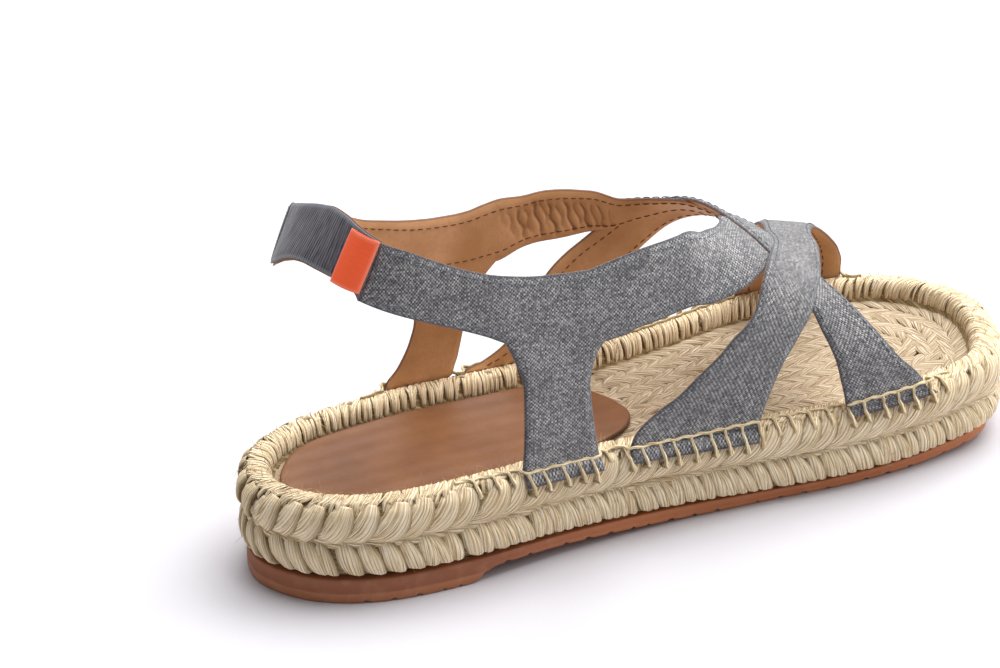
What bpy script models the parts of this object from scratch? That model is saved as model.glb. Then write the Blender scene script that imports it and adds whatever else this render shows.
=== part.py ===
"""Right espadrille sandal, modelled in metres with the toe to +X and the floor at z = 0.

A rubber outsole, a plaited jute sole with a raised rim, a leather heel sock, one
joined upper of four lined canvas straps, an elastic heel band and a ribbon tab.
The straps lie on a last, whose sections follow the rim's outline and the instep.
Along is a share of the sole's length from the heel. Turn runs over a section of
the last, from 0 at the outer rim to 1 at the inner rim.
"""
import math
from collections import namedtuple

import bmesh
import bpy
import numpy as np
from mathutils import Vector

# Driving sizes of the sole
SOLE_LENGTH = 0.250
HEEL_WIDTH = 0.0643
BALL_WIDTH = 0.0811
HEEL_RIM_HEIGHT = 0.0331
BALL_RIM_HEIGHT = 0.027
TOE_SPRING = 0.0038
HEEL_RUBBER = 0.0080
BALL_RUBBER = 0.0034
ARCH_LIFT = 0.0040
RIM_WIDTH = 0.0080
RIM_CROWN = 0.0005
FOOTBED_DEPTH = 0.0050
BRAID_BULGE = 0.0030
HEEL_RUBBER_FLARE = 0.0010
BALL_RUBBER_INSET = 0.0008
RUBBER_EDGE = 0.0006

# Driving sizes of the leather sock
SOCK_THICKNESS = 0.0012
SOCK_START = 0.009
SOCK_LENGTH = 0.125
SOCK_HEEL_ROUND = 0.018
SOCK_OUTER_NOSE = 0.045
SOCK_INNER_NOSE = 0.027

# Driving sizes of the straps
STRAP_THICKNESS = 0.0020
INSTEP_HEIGHT = 0.082
ANKLE_HEIGHT = 0.1711
HEEL_LEAN = 0.0259
LEAN_HEIGHT = 0.1165
LEAN_POWER = 2.4
LEAN_FADE = 2.6
LAP_DEPTH = 0.0042
ELASTIC_THICKNESS = 0.0012
TAB_THICKNESS = 0.0012

# Clearances between pieces
CLEARANCE = 0.0003
LAP_CLEARANCE = 0.0004

# Places along the sole, as shares of its length
STEP_AT = 0.214
STEP_RUN = 0.040
ARCH_END = 0.60
SPRING_START = 0.72
RIM_FALL_START = 0.20
RIM_FALL_END = 0.70
LEAN_END = 0.30

# How far past the rim a strap's table is read, down to the end of its lap
LAP_TURN = 0.02

# How finely the curves are read
STATIONS = 42
LOOP_SAMPLES = 40
SOCK_STATIONS = 30
ELASTIC_STATIONS = 24
ELASTIC_CROSSWAYS = 3
SHARE_STEP = 0.004
WELD = 1e-5

OutlineRow = namedtuple("OutlineRow", "along outer inner width")
OUTLINE = (
    OutlineRow(0.03, 0.274, 0.278, HEEL_WIDTH),
    OutlineRow(0.10, 0.446, 0.434, HEEL_WIDTH),
    OutlineRow(0.22, 0.508, 0.492, HEEL_WIDTH),
    OutlineRow(0.36, 0.474, 0.501, HEEL_WIDTH),
    OutlineRow(0.50, 0.372, 0.430, BALL_WIDTH),
    OutlineRow(0.62, 0.403, 0.499, BALL_WIDTH),
    OutlineRow(0.74, 0.443, 0.557, BALL_WIDTH),
    OutlineRow(0.86, 0.435, 0.512, BALL_WIDTH),
    OutlineRow(0.95, 0.353, 0.365, BALL_WIDTH),
)
TOE_APEX = 0.05

# Side of the jute: out is a share of the bulge, up a share of the wall's height
WallRow = namedtuple("WallRow", "out up")
WALL = (
    WallRow(-0.33, 0.00),
    WallRow(0.60, 0.09),
    WallRow(0.87, 0.27),
    WallRow(0.60, 0.42),
    WallRow(0.20, 0.50),
    WallRow(0.72, 0.59),
    WallRow(1.00, 0.74),
    WallRow(0.80, 0.88),
    WallRow(0.00, 1.00),
)

# Top of the rim: across is a share of its width, crown and depth are shares of their sizes
RimRow = namedtuple("RimRow", "across crown depth")
RIM = (
    RimRow(0.30, 1.0, 0.00),
    RimRow(0.70, 1.0, 0.00),
    RimRow(0.90, 0.0, 0.25),
    RimRow(1.00, 0.0, 1.00),
)

# The last's ridge above the floor, as a share of its size, and how square a section is
TopRow = namedtuple("TopRow", "along share size power")
RIDGE = (
    TopRow(0.00, 1.00, ANKLE_HEIGHT, 2.3),
    TopRow(0.36, 0.97, ANKLE_HEIGHT, 2.3),
    TopRow(0.44, 0.88, ANKLE_HEIGHT, 2.3),
    TopRow(0.52, 1.42, INSTEP_HEIGHT, 2.35),
    TopRow(0.56, 1.17, INSTEP_HEIGHT, 2.45),
    TopRow(0.60, 1.03, INSTEP_HEIGHT, 2.6),
    TopRow(0.64, 0.95, INSTEP_HEIGHT, 2.6),
    TopRow(0.68, 0.86, INSTEP_HEIGHT, 2.6),
    TopRow(0.72, 0.79, INSTEP_HEIGHT, 2.6),
    TopRow(0.76, 0.75, INSTEP_HEIGHT, 2.6),
    TopRow(0.80, 0.71, INSTEP_HEIGHT, 2.6),
    TopRow(0.86, 0.64, INSTEP_HEIGHT, 2.6),
    TopRow(0.90, 0.60, INSTEP_HEIGHT, 2.6),
    TopRow(1.00, 0.45, INSTEP_HEIGHT, 2.6),
)

# Straps: each row is a section from one edge to the other, with its lift in strap thicknesses
StrapRow = namedtuple("StrapRow", "along_a turn_a along_b turn_b lift")
OUTER_BAND = (
    StrapRow(0.085, 0.185, 0.067, 0.138, 0.0),
    StrapRow(0.129, 0.178, 0.110, 0.129, 0.0),
    StrapRow(0.174, 0.166, 0.155, 0.119, 0.0),
    StrapRow(0.216, 0.154, 0.205, 0.107, 0.0),
    StrapRow(0.257, 0.144, 0.241, 0.097, 0.0),
    StrapRow(0.280, 0.140, 0.265, 0.089, 0.0),
    StrapRow(0.300, 0.137, 0.290, 0.083, 0.0),
    StrapRow(0.320, 0.135, 0.315, 0.080, 0.0),
    StrapRow(0.340, 0.134, 0.340, 0.078, 0.0),
    StrapRow(0.360, 0.133, 0.362, 0.077, 0.0),
    StrapRow(0.380, 0.134, 0.384, 0.077, 0.0),
    StrapRow(0.400, 0.140, 0.404, 0.078, 0.0),
    StrapRow(0.423, 0.150, 0.423, 0.082, 0.0),
    StrapRow(0.451, 0.165, 0.447, 0.091, 0.0),
    StrapRow(0.480, 0.189, 0.475, 0.104, 0.0),
    StrapRow(0.513, 0.232, 0.528, 0.148, 0.0),
    StrapRow(0.549, 0.306, 0.575, 0.205, 0.0),
    StrapRow(0.582, 0.385, 0.618, 0.270, 0.0),
    StrapRow(0.618, 0.465, 0.652, 0.340, 0.0),
    StrapRow(0.655, 0.540, 0.686, 0.430, 0.0),
)
INNER_BAND = (
    StrapRow(0.045, 0.829, 0.042, 0.878, 0.0),
    StrapRow(0.060, 0.832, 0.055, 0.881, 0.0),
    StrapRow(0.110, 0.846, 0.105, 0.890, 0.0),
    StrapRow(0.171, 0.862, 0.160, 0.902, 0.0),
    StrapRow(0.210, 0.873, 0.200, 0.910, 0.0),
    StrapRow(0.240, 0.878, 0.235, 0.918, 0.0),
    StrapRow(0.262, 0.881, 0.260, 0.924, 0.0),
    StrapRow(0.285, 0.883, 0.283, 0.928, 0.0),
    StrapRow(0.308, 0.884, 0.306, 0.930, 0.0),
    StrapRow(0.330, 0.884, 0.330, 0.931, 0.0),
    StrapRow(0.352, 0.883, 0.352, 0.931, 0.0),
    StrapRow(0.374, 0.879, 0.374, 0.930, 0.0),
    StrapRow(0.396, 0.873, 0.396, 0.927, 0.0),
    StrapRow(0.425, 0.866, 0.430, 0.914, 0.0),
    StrapRow(0.465, 0.848, 0.480, 0.897, 0.1),
    StrapRow(0.506, 0.819, 0.520, 0.872, 0.2),
    StrapRow(0.550, 0.771, 0.570, 0.822, 0.3),
    StrapRow(0.595, 0.697, 0.618, 0.748, 0.3),
    StrapRow(0.635, 0.605, 0.655, 0.670, 0.3),
    StrapRow(0.668, 0.535, 0.690, 0.590, 0.3),
    StrapRow(0.690, 0.480, 0.715, 0.530, 0.3),
)

# Legs: each row is a level of a quarter's leg, from under its band down to the lap's end
LegRow = namedtuple("LegRow", "rear front turn")
OUTER_LEG = (
    LegRow(0.265, 0.404, 0.083),
    LegRow(0.279, 0.394, 0.071),
    LegRow(0.287, 0.385, 0.058),
    LegRow(0.289, 0.381, 0.046),
    LegRow(0.289, 0.383, 0.030),
    LegRow(0.288, 0.387, 0.014),
    LegRow(0.286, 0.392, 0.000),
    LegRow(0.285, 0.394, -LAP_TURN),
)
INNER_LEG = (
    LegRow(0.260, 0.396, 0.926),
    LegRow(0.275, 0.378, 0.938),
    LegRow(0.281, 0.362, 0.950),
    LegRow(0.281, 0.353, 0.963),
    LegRow(0.274, 0.347, 0.977),
    LegRow(0.258, 0.340, 0.991),
    LegRow(0.240, 0.333, 1.000),
    LegRow(0.234, 0.330, 1.0 + LAP_TURN),
)
REAR_CROSSING = (
    StrapRow(0.430, -LAP_TURN, 0.604, -LAP_TURN, 0.0),
    StrapRow(0.436, 0.000, 0.609, 0.000, 0.0),
    StrapRow(0.471, 0.021, 0.625, 0.046, 0.0),
    StrapRow(0.498, 0.034, 0.639, 0.088, 0.1),
    StrapRow(0.525, 0.057, 0.657, 0.136, 0.2),
    StrapRow(0.552, 0.091, 0.671, 0.178, 0.4),
    StrapRow(0.574, 0.128, 0.683, 0.213, 0.6),
    StrapRow(0.597, 0.168, 0.692, 0.245, 0.8),
    StrapRow(0.612, 0.210, 0.701, 0.283, 0.9),
    StrapRow(0.623, 0.254, 0.712, 0.317, 0.95),
    StrapRow(0.635, 0.300, 0.724, 0.350, 0.95),
    StrapRow(0.650, 0.351, 0.738, 0.397, 0.95),
    StrapRow(0.668, 0.405, 0.754, 0.450, 0.95),
    StrapRow(0.689, 0.460, 0.775, 0.510, 0.95),
    StrapRow(0.712, 0.520, 0.800, 0.580, 0.8),
    StrapRow(0.735, 0.590, 0.825, 0.650, 0.6),
    StrapRow(0.750, 0.670, 0.850, 0.720, 0.4),
    StrapRow(0.757, 0.760, 0.873, 0.800, 0.2),
    StrapRow(0.757, 0.860, 0.890, 0.880, 0.1),
    StrapRow(0.757, 0.950, 0.897, 0.950, 0.0),
    StrapRow(0.757, 1.000, 0.897, 1.000, 0.0),
    StrapRow(0.757, 1.0 + LAP_TURN, 0.897, 1.0 + LAP_TURN, 0.0),
)
FRONT_CROSSING = (
    StrapRow(0.728, -0.5 * LAP_TURN, 0.848, -0.5 * LAP_TURN, 0.0),
    StrapRow(0.724, 0.000, 0.838, 0.000, 0.0),
    StrapRow(0.720, 0.030, 0.828, 0.030, 0.0),
    StrapRow(0.716, 0.061, 0.819, 0.055, 0.1),
    StrapRow(0.712, 0.104, 0.798, 0.103, 0.2),
    StrapRow(0.705, 0.147, 0.786, 0.140, 0.4),
    StrapRow(0.697, 0.191, 0.767, 0.207, 0.5),
    StrapRow(0.692, 0.230, 0.751, 0.269, 0.6),
    StrapRow(0.685, 0.280, 0.740, 0.314, 0.6),
    StrapRow(0.677, 0.330, 0.730, 0.355, 0.6),
    StrapRow(0.667, 0.390, 0.724, 0.410, 0.6),
    StrapRow(0.658, 0.450, 0.718, 0.465, 0.6),
    StrapRow(0.648, 0.520, 0.708, 0.535, 0.6),
    StrapRow(0.633, 0.600, 0.694, 0.610, 0.6),
    StrapRow(0.612, 0.680, 0.675, 0.690, 0.6),
    StrapRow(0.585, 0.755, 0.652, 0.765, 0.6),
    StrapRow(0.553, 0.825, 0.625, 0.835, 0.5),
    StrapRow(0.523, 0.879, 0.595, 0.890, 0.4),
    StrapRow(0.497, 0.908, 0.570, 0.925, 0.3),
    StrapRow(0.471, 0.933, 0.550, 0.950, 0.2),
    StrapRow(0.440, 0.964, 0.535, 0.970, 0.1),
    StrapRow(0.408, 0.989, 0.526, 0.985, 0.0),
    StrapRow(0.375, 0.997, 0.521, 0.994, 0.0),
    StrapRow(0.350, 1.000, 0.518, 1.000, 0.0),
    StrapRow(0.345, 1.0 + LAP_TURN, 0.516, 1.0 + LAP_TURN, 0.0),
)
STRAP_STEPS = 2
STRAP_CROSSWAYS = 6
LEG_STEPS = 2

# Heel elastic between the two quarters: round is the root of along, negative on the outer side
ElasticRow = namedtuple("ElasticRow", "round rise_top rise_low")
ELASTIC = (
    ElasticRow(-0.24, 0.190, 0.145),
    ElasticRow(-0.19, 0.193, 0.150),
    ElasticRow(-0.12, 0.195, 0.1515),
    ElasticRow(-0.05, 0.194, 0.151),
    ElasticRow(0.00, 0.191, 0.149),
    ElasticRow(0.06, 0.187, 0.144),
    ElasticRow(0.11, 0.182, 0.136),
)

# Ribbon tab over the elastic's outer end: a row for its top edge and one for its low edge
TabRow = namedtuple("TabRow", "along_seam along_fold rise_seam rise_fold")
TAB = (
    TabRow(0.084, 0.037, 0.186, 0.190),
    TabRow(0.067, 0.032, 0.144, 0.148),
)
TAB_STEPS = 4


def monotone_slopes(knots, values):
    """Slopes that let a cubic pass each value with no overshoot."""
    steps = np.diff(knots)
    rises = np.diff(values) / steps
    slopes = np.zeros(len(values))
    slopes[0], slopes[-1] = rises[0], rises[-1]
    for i in range(1, len(values) - 1):
        if rises[i - 1] * rises[i] > 0:
            heavy = 2 * steps[i] + steps[i - 1]
            light = steps[i] + 2 * steps[i - 1]
            slopes[i] = (heavy + light) / (heavy / rises[i - 1] + light / rises[i])
    return slopes


def smooth_value(knots, values, at):
    """One column of a table read from a smooth monotone curve."""
    knots = np.asarray(knots, float)
    values = np.asarray(values, float)
    slopes = monotone_slopes(knots, values)
    at = np.clip(at, knots[0], knots[-1])
    i = np.clip(np.searchsorted(knots, at, side="right") - 1, 0, len(knots) - 2)
    step = knots[i + 1] - knots[i]
    t = (at - knots[i]) / step
    return (
        (2 * t**3 - 3 * t**2 + 1) * values[i]
        + (t**3 - 2 * t**2 + t) * step * slopes[i]
        + (3 * t**2 - 2 * t**3) * values[i + 1]
        + (t**3 - t**2) * step * slopes[i + 1]
    )


def closed_curve(points, samples):
    """A smooth closed curve through points, by centripetal Catmull-Rom spans."""
    points = np.asarray(points, float)
    count = len(points)
    found = []
    for i in range(count):
        p0, p1, p2, p3 = (points[(i + k - 1) % count] for k in range(4))
        t1 = math.sqrt(np.linalg.norm(p1 - p0))
        t2 = t1 + math.sqrt(np.linalg.norm(p2 - p1))
        t3 = t2 + math.sqrt(np.linalg.norm(p3 - p2))
        for t in np.linspace(t1, t2, samples, endpoint=False):
            a1 = (t1 - t) / t1 * p0 + t / t1 * p1
            a2 = (t2 - t) / (t2 - t1) * p1 + (t - t1) / (t2 - t1) * p2
            a3 = (t3 - t) / (t3 - t2) * p2 + (t - t2) / (t3 - t2) * p3
            b1 = (t2 - t) / t2 * a1 + t / t2 * a2
            b2 = (t3 - t) / (t3 - t1) * a2 + (t - t1) / (t3 - t1) * a3
            found.append((t2 - t) / (t2 - t1) * b1 + (t - t1) / (t2 - t1) * b2)
    return np.array(found)


def rim_sides():
    """The rim's outline as two curves of (x, y): the outer side, then the inner side."""
    loop = [(0.0, 0.0)]
    loop += [(row.along * SOLE_LENGTH, row.inner * row.width) for row in OUTLINE]
    loop += [(SOLE_LENGTH, TOE_APEX * BALL_WIDTH)]
    loop += [(row.along * SOLE_LENGTH, -row.outer * row.width) for row in reversed(OUTLINE)]
    curve = closed_curve(loop, LOOP_SAMPLES)
    heel = int(np.argmin(curve[:, 0]))
    curve = np.roll(curve, -heel, axis=0)
    toe = int(np.argmax(curve[:, 0]))
    inner = curve[: toe + 1]
    outer = np.vstack([curve[toe:], curve[:1]])[::-1]
    return outer, inner


RIM_OUTER, RIM_INNER = rim_sides()


def rim_y(x, side):
    """The rim's y at a place along it, on the outer side (-1) or the inner side (1)."""
    curve = RIM_OUTER if side < 0 else RIM_INNER
    return np.interp(x, curve[:, 0], curve[:, 1])


def smooth_step(share):
    share = np.clip(share, 0.0, 1.0)
    return share * share * (3 - 2 * share)


def toe_rise(along):
    return TOE_SPRING * np.clip((along - SPRING_START) / (1 - SPRING_START), 0, 1) ** 2


def fall(along, heel, ball):
    """A height that falls from the heel's value to the ball's, then rises with the toe."""
    share = smooth_step((along - RIM_FALL_START) / (RIM_FALL_END - RIM_FALL_START))
    return heel + (ball - heel) * share + toe_rise(along)


def rim_height(along):
    return fall(along, HEEL_RIM_HEIGHT, BALL_RIM_HEIGHT)


def rubber_top(along):
    return fall(along, HEEL_RUBBER, BALL_RUBBER)


def jute_base(along):
    return rubber_top(along) + CLEARANCE


def footbed_height(along):
    return rim_height(along) - FOOTBED_DEPTH


def sole_underside(along):
    """The floor side of the rubber: flat heel block, step, lifted arch, flat ball, toe."""
    step_top = STEP_AT + STEP_RUN
    lift = smooth_step((along - STEP_AT) / STEP_RUN)
    lift = lift * (1 - smooth_step((along - step_top) / (ARCH_END - step_top)))
    return ARCH_LIFT * lift + toe_rise(along)


def rubber_out(along):
    """How far the rubber stands out from the rim: a little at the heel, inset at the ball."""
    share = smooth_step((along - RIM_FALL_START) / (RIM_FALL_END - RIM_FALL_START))
    return HEEL_RUBBER_FLARE - (HEEL_RUBBER_FLARE + BALL_RUBBER_INSET) * share


def station_shares():
    """Places along the sole: close together at its round ends, and at the heel's step."""
    shares = [(1 - math.cos(math.pi * i / STATIONS)) / 2 for i in range(STATIONS + 1)]
    for place in (STEP_AT, STEP_AT + STEP_RUN / 2, STEP_AT + STEP_RUN):
        nearest = min(range(len(shares)), key=lambda i: abs(shares[i] - place))
        shares[nearest] = place
    return sorted(shares)


SHARES = station_shares()


def loop_shares():
    """The shares around a whole loop, with the side that each point is on."""
    inner = [(share, 1) for share in SHARES]
    outer = [(share, -1) for share in reversed(SHARES[1:-1])]
    return inner + outer


def outline_points():
    """The rim's outline, clockwise seen from above."""
    return np.array([(share * SOLE_LENGTH, rim_y(share * SOLE_LENGTH, side)) for share, side in loop_shares()])


def ring(distance, height):
    """A ring round the sole: the rim moved outward by a distance, at a height for each share."""
    points = outline_points()
    shares = np.array([share for share, _ in loop_shares()])
    forward = np.roll(points, -1, axis=0) - np.roll(points, 1, axis=0)
    forward = forward / np.linalg.norm(forward, axis=1)[:, None]
    outward = np.column_stack([-forward[:, 1], forward[:, 0]])
    out = distance(shares) if callable(distance) else np.full(len(shares), distance)
    flat = points + outward * out[:, None]
    return [(x, y, float(height(share))) for (x, y), share in zip(flat, shares)]


def wall_out(up):
    """How far the jute's side stands out from the rim's outline at a share of its height."""
    return BRAID_BULGE * smooth_value([row.up for row in WALL], [row.out for row in WALL], up)


def wall_height(up):
    """The height of a share of the jute's side, as a function of the place along."""
    return lambda along: jute_base(along) + up * (rim_height(along) - jute_base(along))


def mesh_object(name, vertices, faces, material, collection):
    mesh = bpy.data.meshes.new(name)
    mesh.from_pydata([tuple(map(float, v)) for v in vertices], [], faces)
    mesh.validate()
    made = bmesh.new()
    made.from_mesh(mesh)
    bmesh.ops.recalc_face_normals(made, faces=made.faces)
    made.to_mesh(mesh)
    made.free()
    obj = bpy.data.objects.new(name, mesh)
    obj.data.materials.append(material)
    collection.objects.link(obj)
    return obj


def stacked_rings(name, rings, material, collection):
    """A closed solid through rings of the same count, its two ends closed by bars across."""
    count = len(rings[0])
    vertices = [point for one in rings for point in one]
    faces = []
    for level in range(len(rings) - 1):
        low, high = level * count, (level + 1) * count
        for i in range(count):
            j = (i + 1) % count
            faces.append((low + i, low + j, high + j, high + i))
    last = len(SHARES) - 1
    for start in (0, (len(rings) - 1) * count):
        for i in range(last):
            near_i = (count - i) % count
            near_j = (count - i - 1) % count
            if i + 1 == last:
                near_j = last
            corners = [i, i + 1, near_j, near_i]
            corners = [start + c for c in dict.fromkeys(corners)]
            faces.append(tuple(corners))
    return mesh_object(name, vertices, faces, material, collection)


def ridge_height(along):
    """The height of the last's ridge above the floor."""
    return smooth_value([row.along for row in RIDGE], [row.share * row.size for row in RIDGE], along)


def section_power(along):
    """How square the last's section is: 2 is an ellipse, and more has fuller shoulders."""
    return smooth_value([row.along for row in RIDGE], [row.power for row in RIDGE], along)


def lap_point(along, side, share):
    """A point on the outer face of the rim, where a strap is sewn down over the jute."""
    wall = rim_height(along) - jute_base(along)
    up = 1 - share * LAP_DEPTH / wall
    height = jute_base(along) + up * wall
    reach = 2 * SHARE_STEP
    ys = rim_y(np.array([along - reach, along, along + reach]) * SOLE_LENGTH, side)
    tangent = np.array([2 * reach * SOLE_LENGTH, ys[2] - ys[0]])
    tangent = tangent / np.linalg.norm(tangent)
    outward = np.array([-tangent[1], tangent[0]]) * side
    out = wall_out(up) + LAP_CLEARANCE
    x, y = np.array([along * SOLE_LENGTH, ys[1]]) + outward * out
    return np.array([x, y, height])


def last_point(along, turn):
    """A point of the last's surface, or of the lap below it where turn is past 0 or 1."""
    if turn <= 0:
        return lap_point(along, -1, -turn / LAP_TURN)
    if turn >= 1:
        return lap_point(along, 1, (turn - 1) / LAP_TURN)
    outer = lap_point(along, -1, 0)
    inner = lap_point(along, 1, 0)
    middle = (outer + inner) / 2
    angle = math.pi * (1 - turn)
    bend = 2 / section_power(along)
    across = math.copysign(abs(math.cos(angle)) ** bend, math.cos(angle))
    up = math.sin(angle) ** bend
    base = float(rim_height(along))
    point = middle + (inner - middle) * across
    point[2] = base + (float(ridge_height(along)) - base) * up
    lean = HEEL_LEAN * ((point[2] - base) / (LEAN_HEIGHT - base)) ** LEAN_POWER
    point[0] += lean * max(0.0, 1 - along / LEAN_END) ** LEAN_FADE
    return point


def last_normal(along, turn):
    """The outward direction of the last at a point."""
    forward = last_point(along + SHARE_STEP, turn) - last_point(along - SHARE_STEP, turn)
    over = last_point(along, turn + SHARE_STEP) - last_point(along, turn - SHARE_STEP)
    normal = np.cross(forward, over)
    return normal / np.linalg.norm(normal)


def strap_rows(rows):
    """The table's rows read at a few steps between each two, by the way each edge moves."""
    table = np.array(rows, float)
    edge_a = np.array([last_point(row[0], row[1]) for row in table])
    edge_b = np.array([last_point(row[2], row[3]) for row in table])
    moved = np.linalg.norm(np.diff(edge_a, axis=0), axis=1)
    moved = moved + np.linalg.norm(np.diff(edge_b, axis=0), axis=1)
    knots = np.concatenate([[0.0], np.cumsum(moved)])
    at = [knots[0]]
    for low, high in zip(knots[:-1], knots[1:]):
        at += [low + (high - low) * (k + 1) / STRAP_STEPS for k in range(STRAP_STEPS)]
    at = np.array(at)
    return np.column_stack([smooth_value(knots, table[:, k], at) for k in range(5)])


def strap_point(along, turn, lift):
    """A point on the last, raised by a share of the strap's thickness."""
    point = last_point(along, turn)
    if lift > 0:
        point = point + last_normal(along, turn) * lift * STRAP_THICKNESS
    return point


def strap_sheet(rows):
    """A sheet over the last, from edge to edge of a strap, as its points and its faces."""
    points = []
    for along_a, turn_a, along_b, turn_b, lift in strap_rows(rows):
        for k in range(STRAP_CROSSWAYS + 1):
            share = k / STRAP_CROSSWAYS
            along = along_a + (along_b - along_a) * share
            points.append(strap_point(along, turn_a + (turn_b - turn_a) * share, lift))
    return points, grid_faces(len(points) // (STRAP_CROSSWAYS + 1), STRAP_CROSSWAYS + 1)


def grid_faces(rows, columns):
    faces = []
    for i in range(rows - 1):
        for k in range(columns - 1):
            corner = i * columns + k
            faces.append((corner, corner + 1, corner + columns + 1, corner + columns))
    return faces


def quarter_sheet(band_rows, leg_rows):
    """A band with its leg, which hangs from the band's lower edge and shares its points."""
    points, faces = strap_sheet(band_rows)
    columns = STRAP_CROSSWAYS + 1
    low_edge = strap_rows(band_rows)[:, 2:4]
    top = leg_rows[0]
    held = [i for i, (along, _) in enumerate(low_edge) if top.rear - 1e-4 <= along <= top.front + 1e-4]
    first, last = low_edge[held[0]][0], low_edge[held[-1]][0]
    knots = np.arange(len(leg_rows), dtype=float)
    levels = np.linspace(0, knots[-1], LEG_STEPS * (len(leg_rows) - 1) + 1)
    columns_down = []
    for i in held:
        share = (low_edge[i][0] - first) / (last - first)
        alongs = [low_edge[i][0]] + [row.rear + (row.front - row.rear) * share for row in leg_rows[1:]]
        turns = [low_edge[i][1]] + [row.turn for row in leg_rows[1:]]
        line = [i * columns + STRAP_CROSSWAYS]
        for level in levels[1:]:
            line.append(len(points))
            points.append(last_point(smooth_value(knots, alongs, level), smooth_value(knots, turns, level)))
        columns_down.append(line)
    for left, right in zip(columns_down[:-1], columns_down[1:]):
        for k in range(len(levels) - 1):
            faces.append((left[k], left[k + 1], right[k + 1], right[k]))
    return points, faces


def thick_sheet(name, sheet, thickness, material, collection):
    """An open sheet with Solidify, which thickens it away from the last."""
    points, faces = sheet
    made = bmesh.new()
    corners = [made.verts.new(tuple(map(float, point))) for point in points]
    for face in faces:
        made.faces.new([corners[i] for i in face])
    bmesh.ops.recalc_face_normals(made, faces=made.faces)
    outward = 0.0
    for face in made.faces:
        centre = face.calc_center_median()
        away = centre - Vector((centre.x, 0.0, HEEL_RIM_HEIGHT))
        outward += face.calc_area() * face.normal.dot(away)
    if outward < 0:
        bmesh.ops.reverse_faces(made, faces=made.faces)
    mesh = bpy.data.meshes.new(name)
    made.to_mesh(mesh)
    made.free()
    obj = bpy.data.objects.new(name, mesh)
    obj.data.materials.append(material)
    collection.objects.link(obj)
    solid = obj.modifiers.new("Thickness", "SOLIDIFY")
    solid.thickness = thickness
    solid.offset = 1.0
    solid.use_even_offset = True
    return obj


def joined(name, objects, material, collection):
    """One object from several closed solids that overlap, by Boolean unions."""
    base = objects[0]
    for other in objects[1:]:
        union = base.modifiers.new("Join " + other.name, "BOOLEAN")
        union.operation = "UNION"
        union.object = other
    graph = bpy.context.evaluated_depsgraph_get()
    mesh = bpy.data.meshes.new_from_object(base.evaluated_get(graph))
    made = bmesh.new()
    made.from_mesh(mesh)
    bmesh.ops.triangulate(made, faces=made.faces)
    bmesh.ops.remove_doubles(made, verts=made.verts, dist=WELD)
    bmesh.ops.dissolve_degenerate(made, edges=made.edges, dist=WELD)
    made.to_mesh(mesh)
    made.free()
    result = bpy.data.objects.new(name, mesh)
    result.data.materials.clear()
    result.data.materials.append(material)
    collection.objects.link(result)
    for obj in objects:
        bpy.data.objects.remove(obj, do_unlink=True)
    return result


def finish(name, colour, roughness):
    """A plain finish: its colour in linear values, and how rough it is."""
    material = bpy.data.materials.new(name)
    material.use_nodes = True
    shader = material.node_tree.nodes["Principled BSDF"]
    shader.inputs["Base Color"].default_value = (*colour, 1.0)
    shader.inputs["Roughness"].default_value = roughness
    return material


def make_outsole(material, collection):
    """A tan rubber sole with a thicker heel block and a lifted arch."""
    rings = [
        ring(lambda along: rubber_out(along) - RUBBER_EDGE, sole_underside),
        ring(rubber_out, lambda along: sole_underside(along) + RUBBER_EDGE),
        ring(rubber_out, rubber_top),
    ]
    return stacked_rings("rubber_outsole", rings, material, collection)


def make_jute(material, collection):
    """A tray of jute: two plaited rows round its side, a rim, and a sunk footbed."""
    rings = [ring(wall_out(row.up), wall_height(row.up)) for row in WALL]
    for row in RIM:
        rise = row.crown * RIM_CROWN - row.depth * FOOTBED_DEPTH
        rings.append(ring(-row.across * RIM_WIDTH, lambda along, rise=rise: rim_height(along) + rise))
    return stacked_rings("jute_sole", rings, material, collection)


def sock_half(x, side):
    """The sock's half width: the footbed's edge, and a round nose in front."""
    edge = abs(rim_y(x, side)) - RIM_WIDTH - CLEARANCE
    nose = SOCK_OUTER_NOSE if side < 0 else SOCK_INNER_NOSE
    ahead = np.clip((x - (SOCK_LENGTH - nose)) / nose, 0, 1)
    return edge * math.sqrt(max(0.0, 1 - ahead**2))


def make_sock(material, collection):
    """The leather half sock on the footbed under the heel and waist."""
    shares = [(1 - math.cos(math.pi * i / SOCK_STATIONS)) / 2 for i in range(SOCK_STATIONS + 1)]
    xs = [SOCK_START + (SOCK_LENGTH - SOCK_START) * share for share in shares]
    heights = (CLEARANCE, CLEARANCE + SOCK_THICKNESS)
    vertices = []
    lines = []
    for x in xs:
        back = np.clip((x - SOCK_START) / SOCK_HEEL_ROUND, 0, 1)
        round_heel = math.sqrt(max(0.0, 1 - (1 - back) ** 2))
        sides = [side * sock_half(x, side) * round_heel for side in (-1, 1)]
        line = []
        for y in sides if abs(sides[0]) > WELD else [0.0]:
            for height in heights:
                line.append(len(vertices))
                vertices.append((x, y, float(footbed_height(x / SOLE_LENGTH)) + height))
        lines.append(line)
    faces = []
    for first, second in zip(lines[:-1], lines[1:]):
        if len(first) == 2:
            a0, a1 = first
            b0, b1, c0, c1 = second
            faces += [(a0, b0, c0), (a1, c1, b1), (a0, a1, b1, b0), (a0, c0, c1, a1)]
        elif len(second) == 2:
            b0, b1, c0, c1 = first
            a0, a1 = second
            faces += [(b0, a0, c0), (b1, c1, a1), (b0, b1, a1, a0), (c0, a0, a1, c1)]
        else:
            a0, a1, d0, d1 = first
            b0, b1, c0, c1 = second
            faces += [(a0, b0, c0, d0), (a1, d1, c1, b1), (a0, a1, b1, b0), (d0, c0, c1, d1)]
    return mesh_object("heel_sock", vertices, faces, material, collection)


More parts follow.
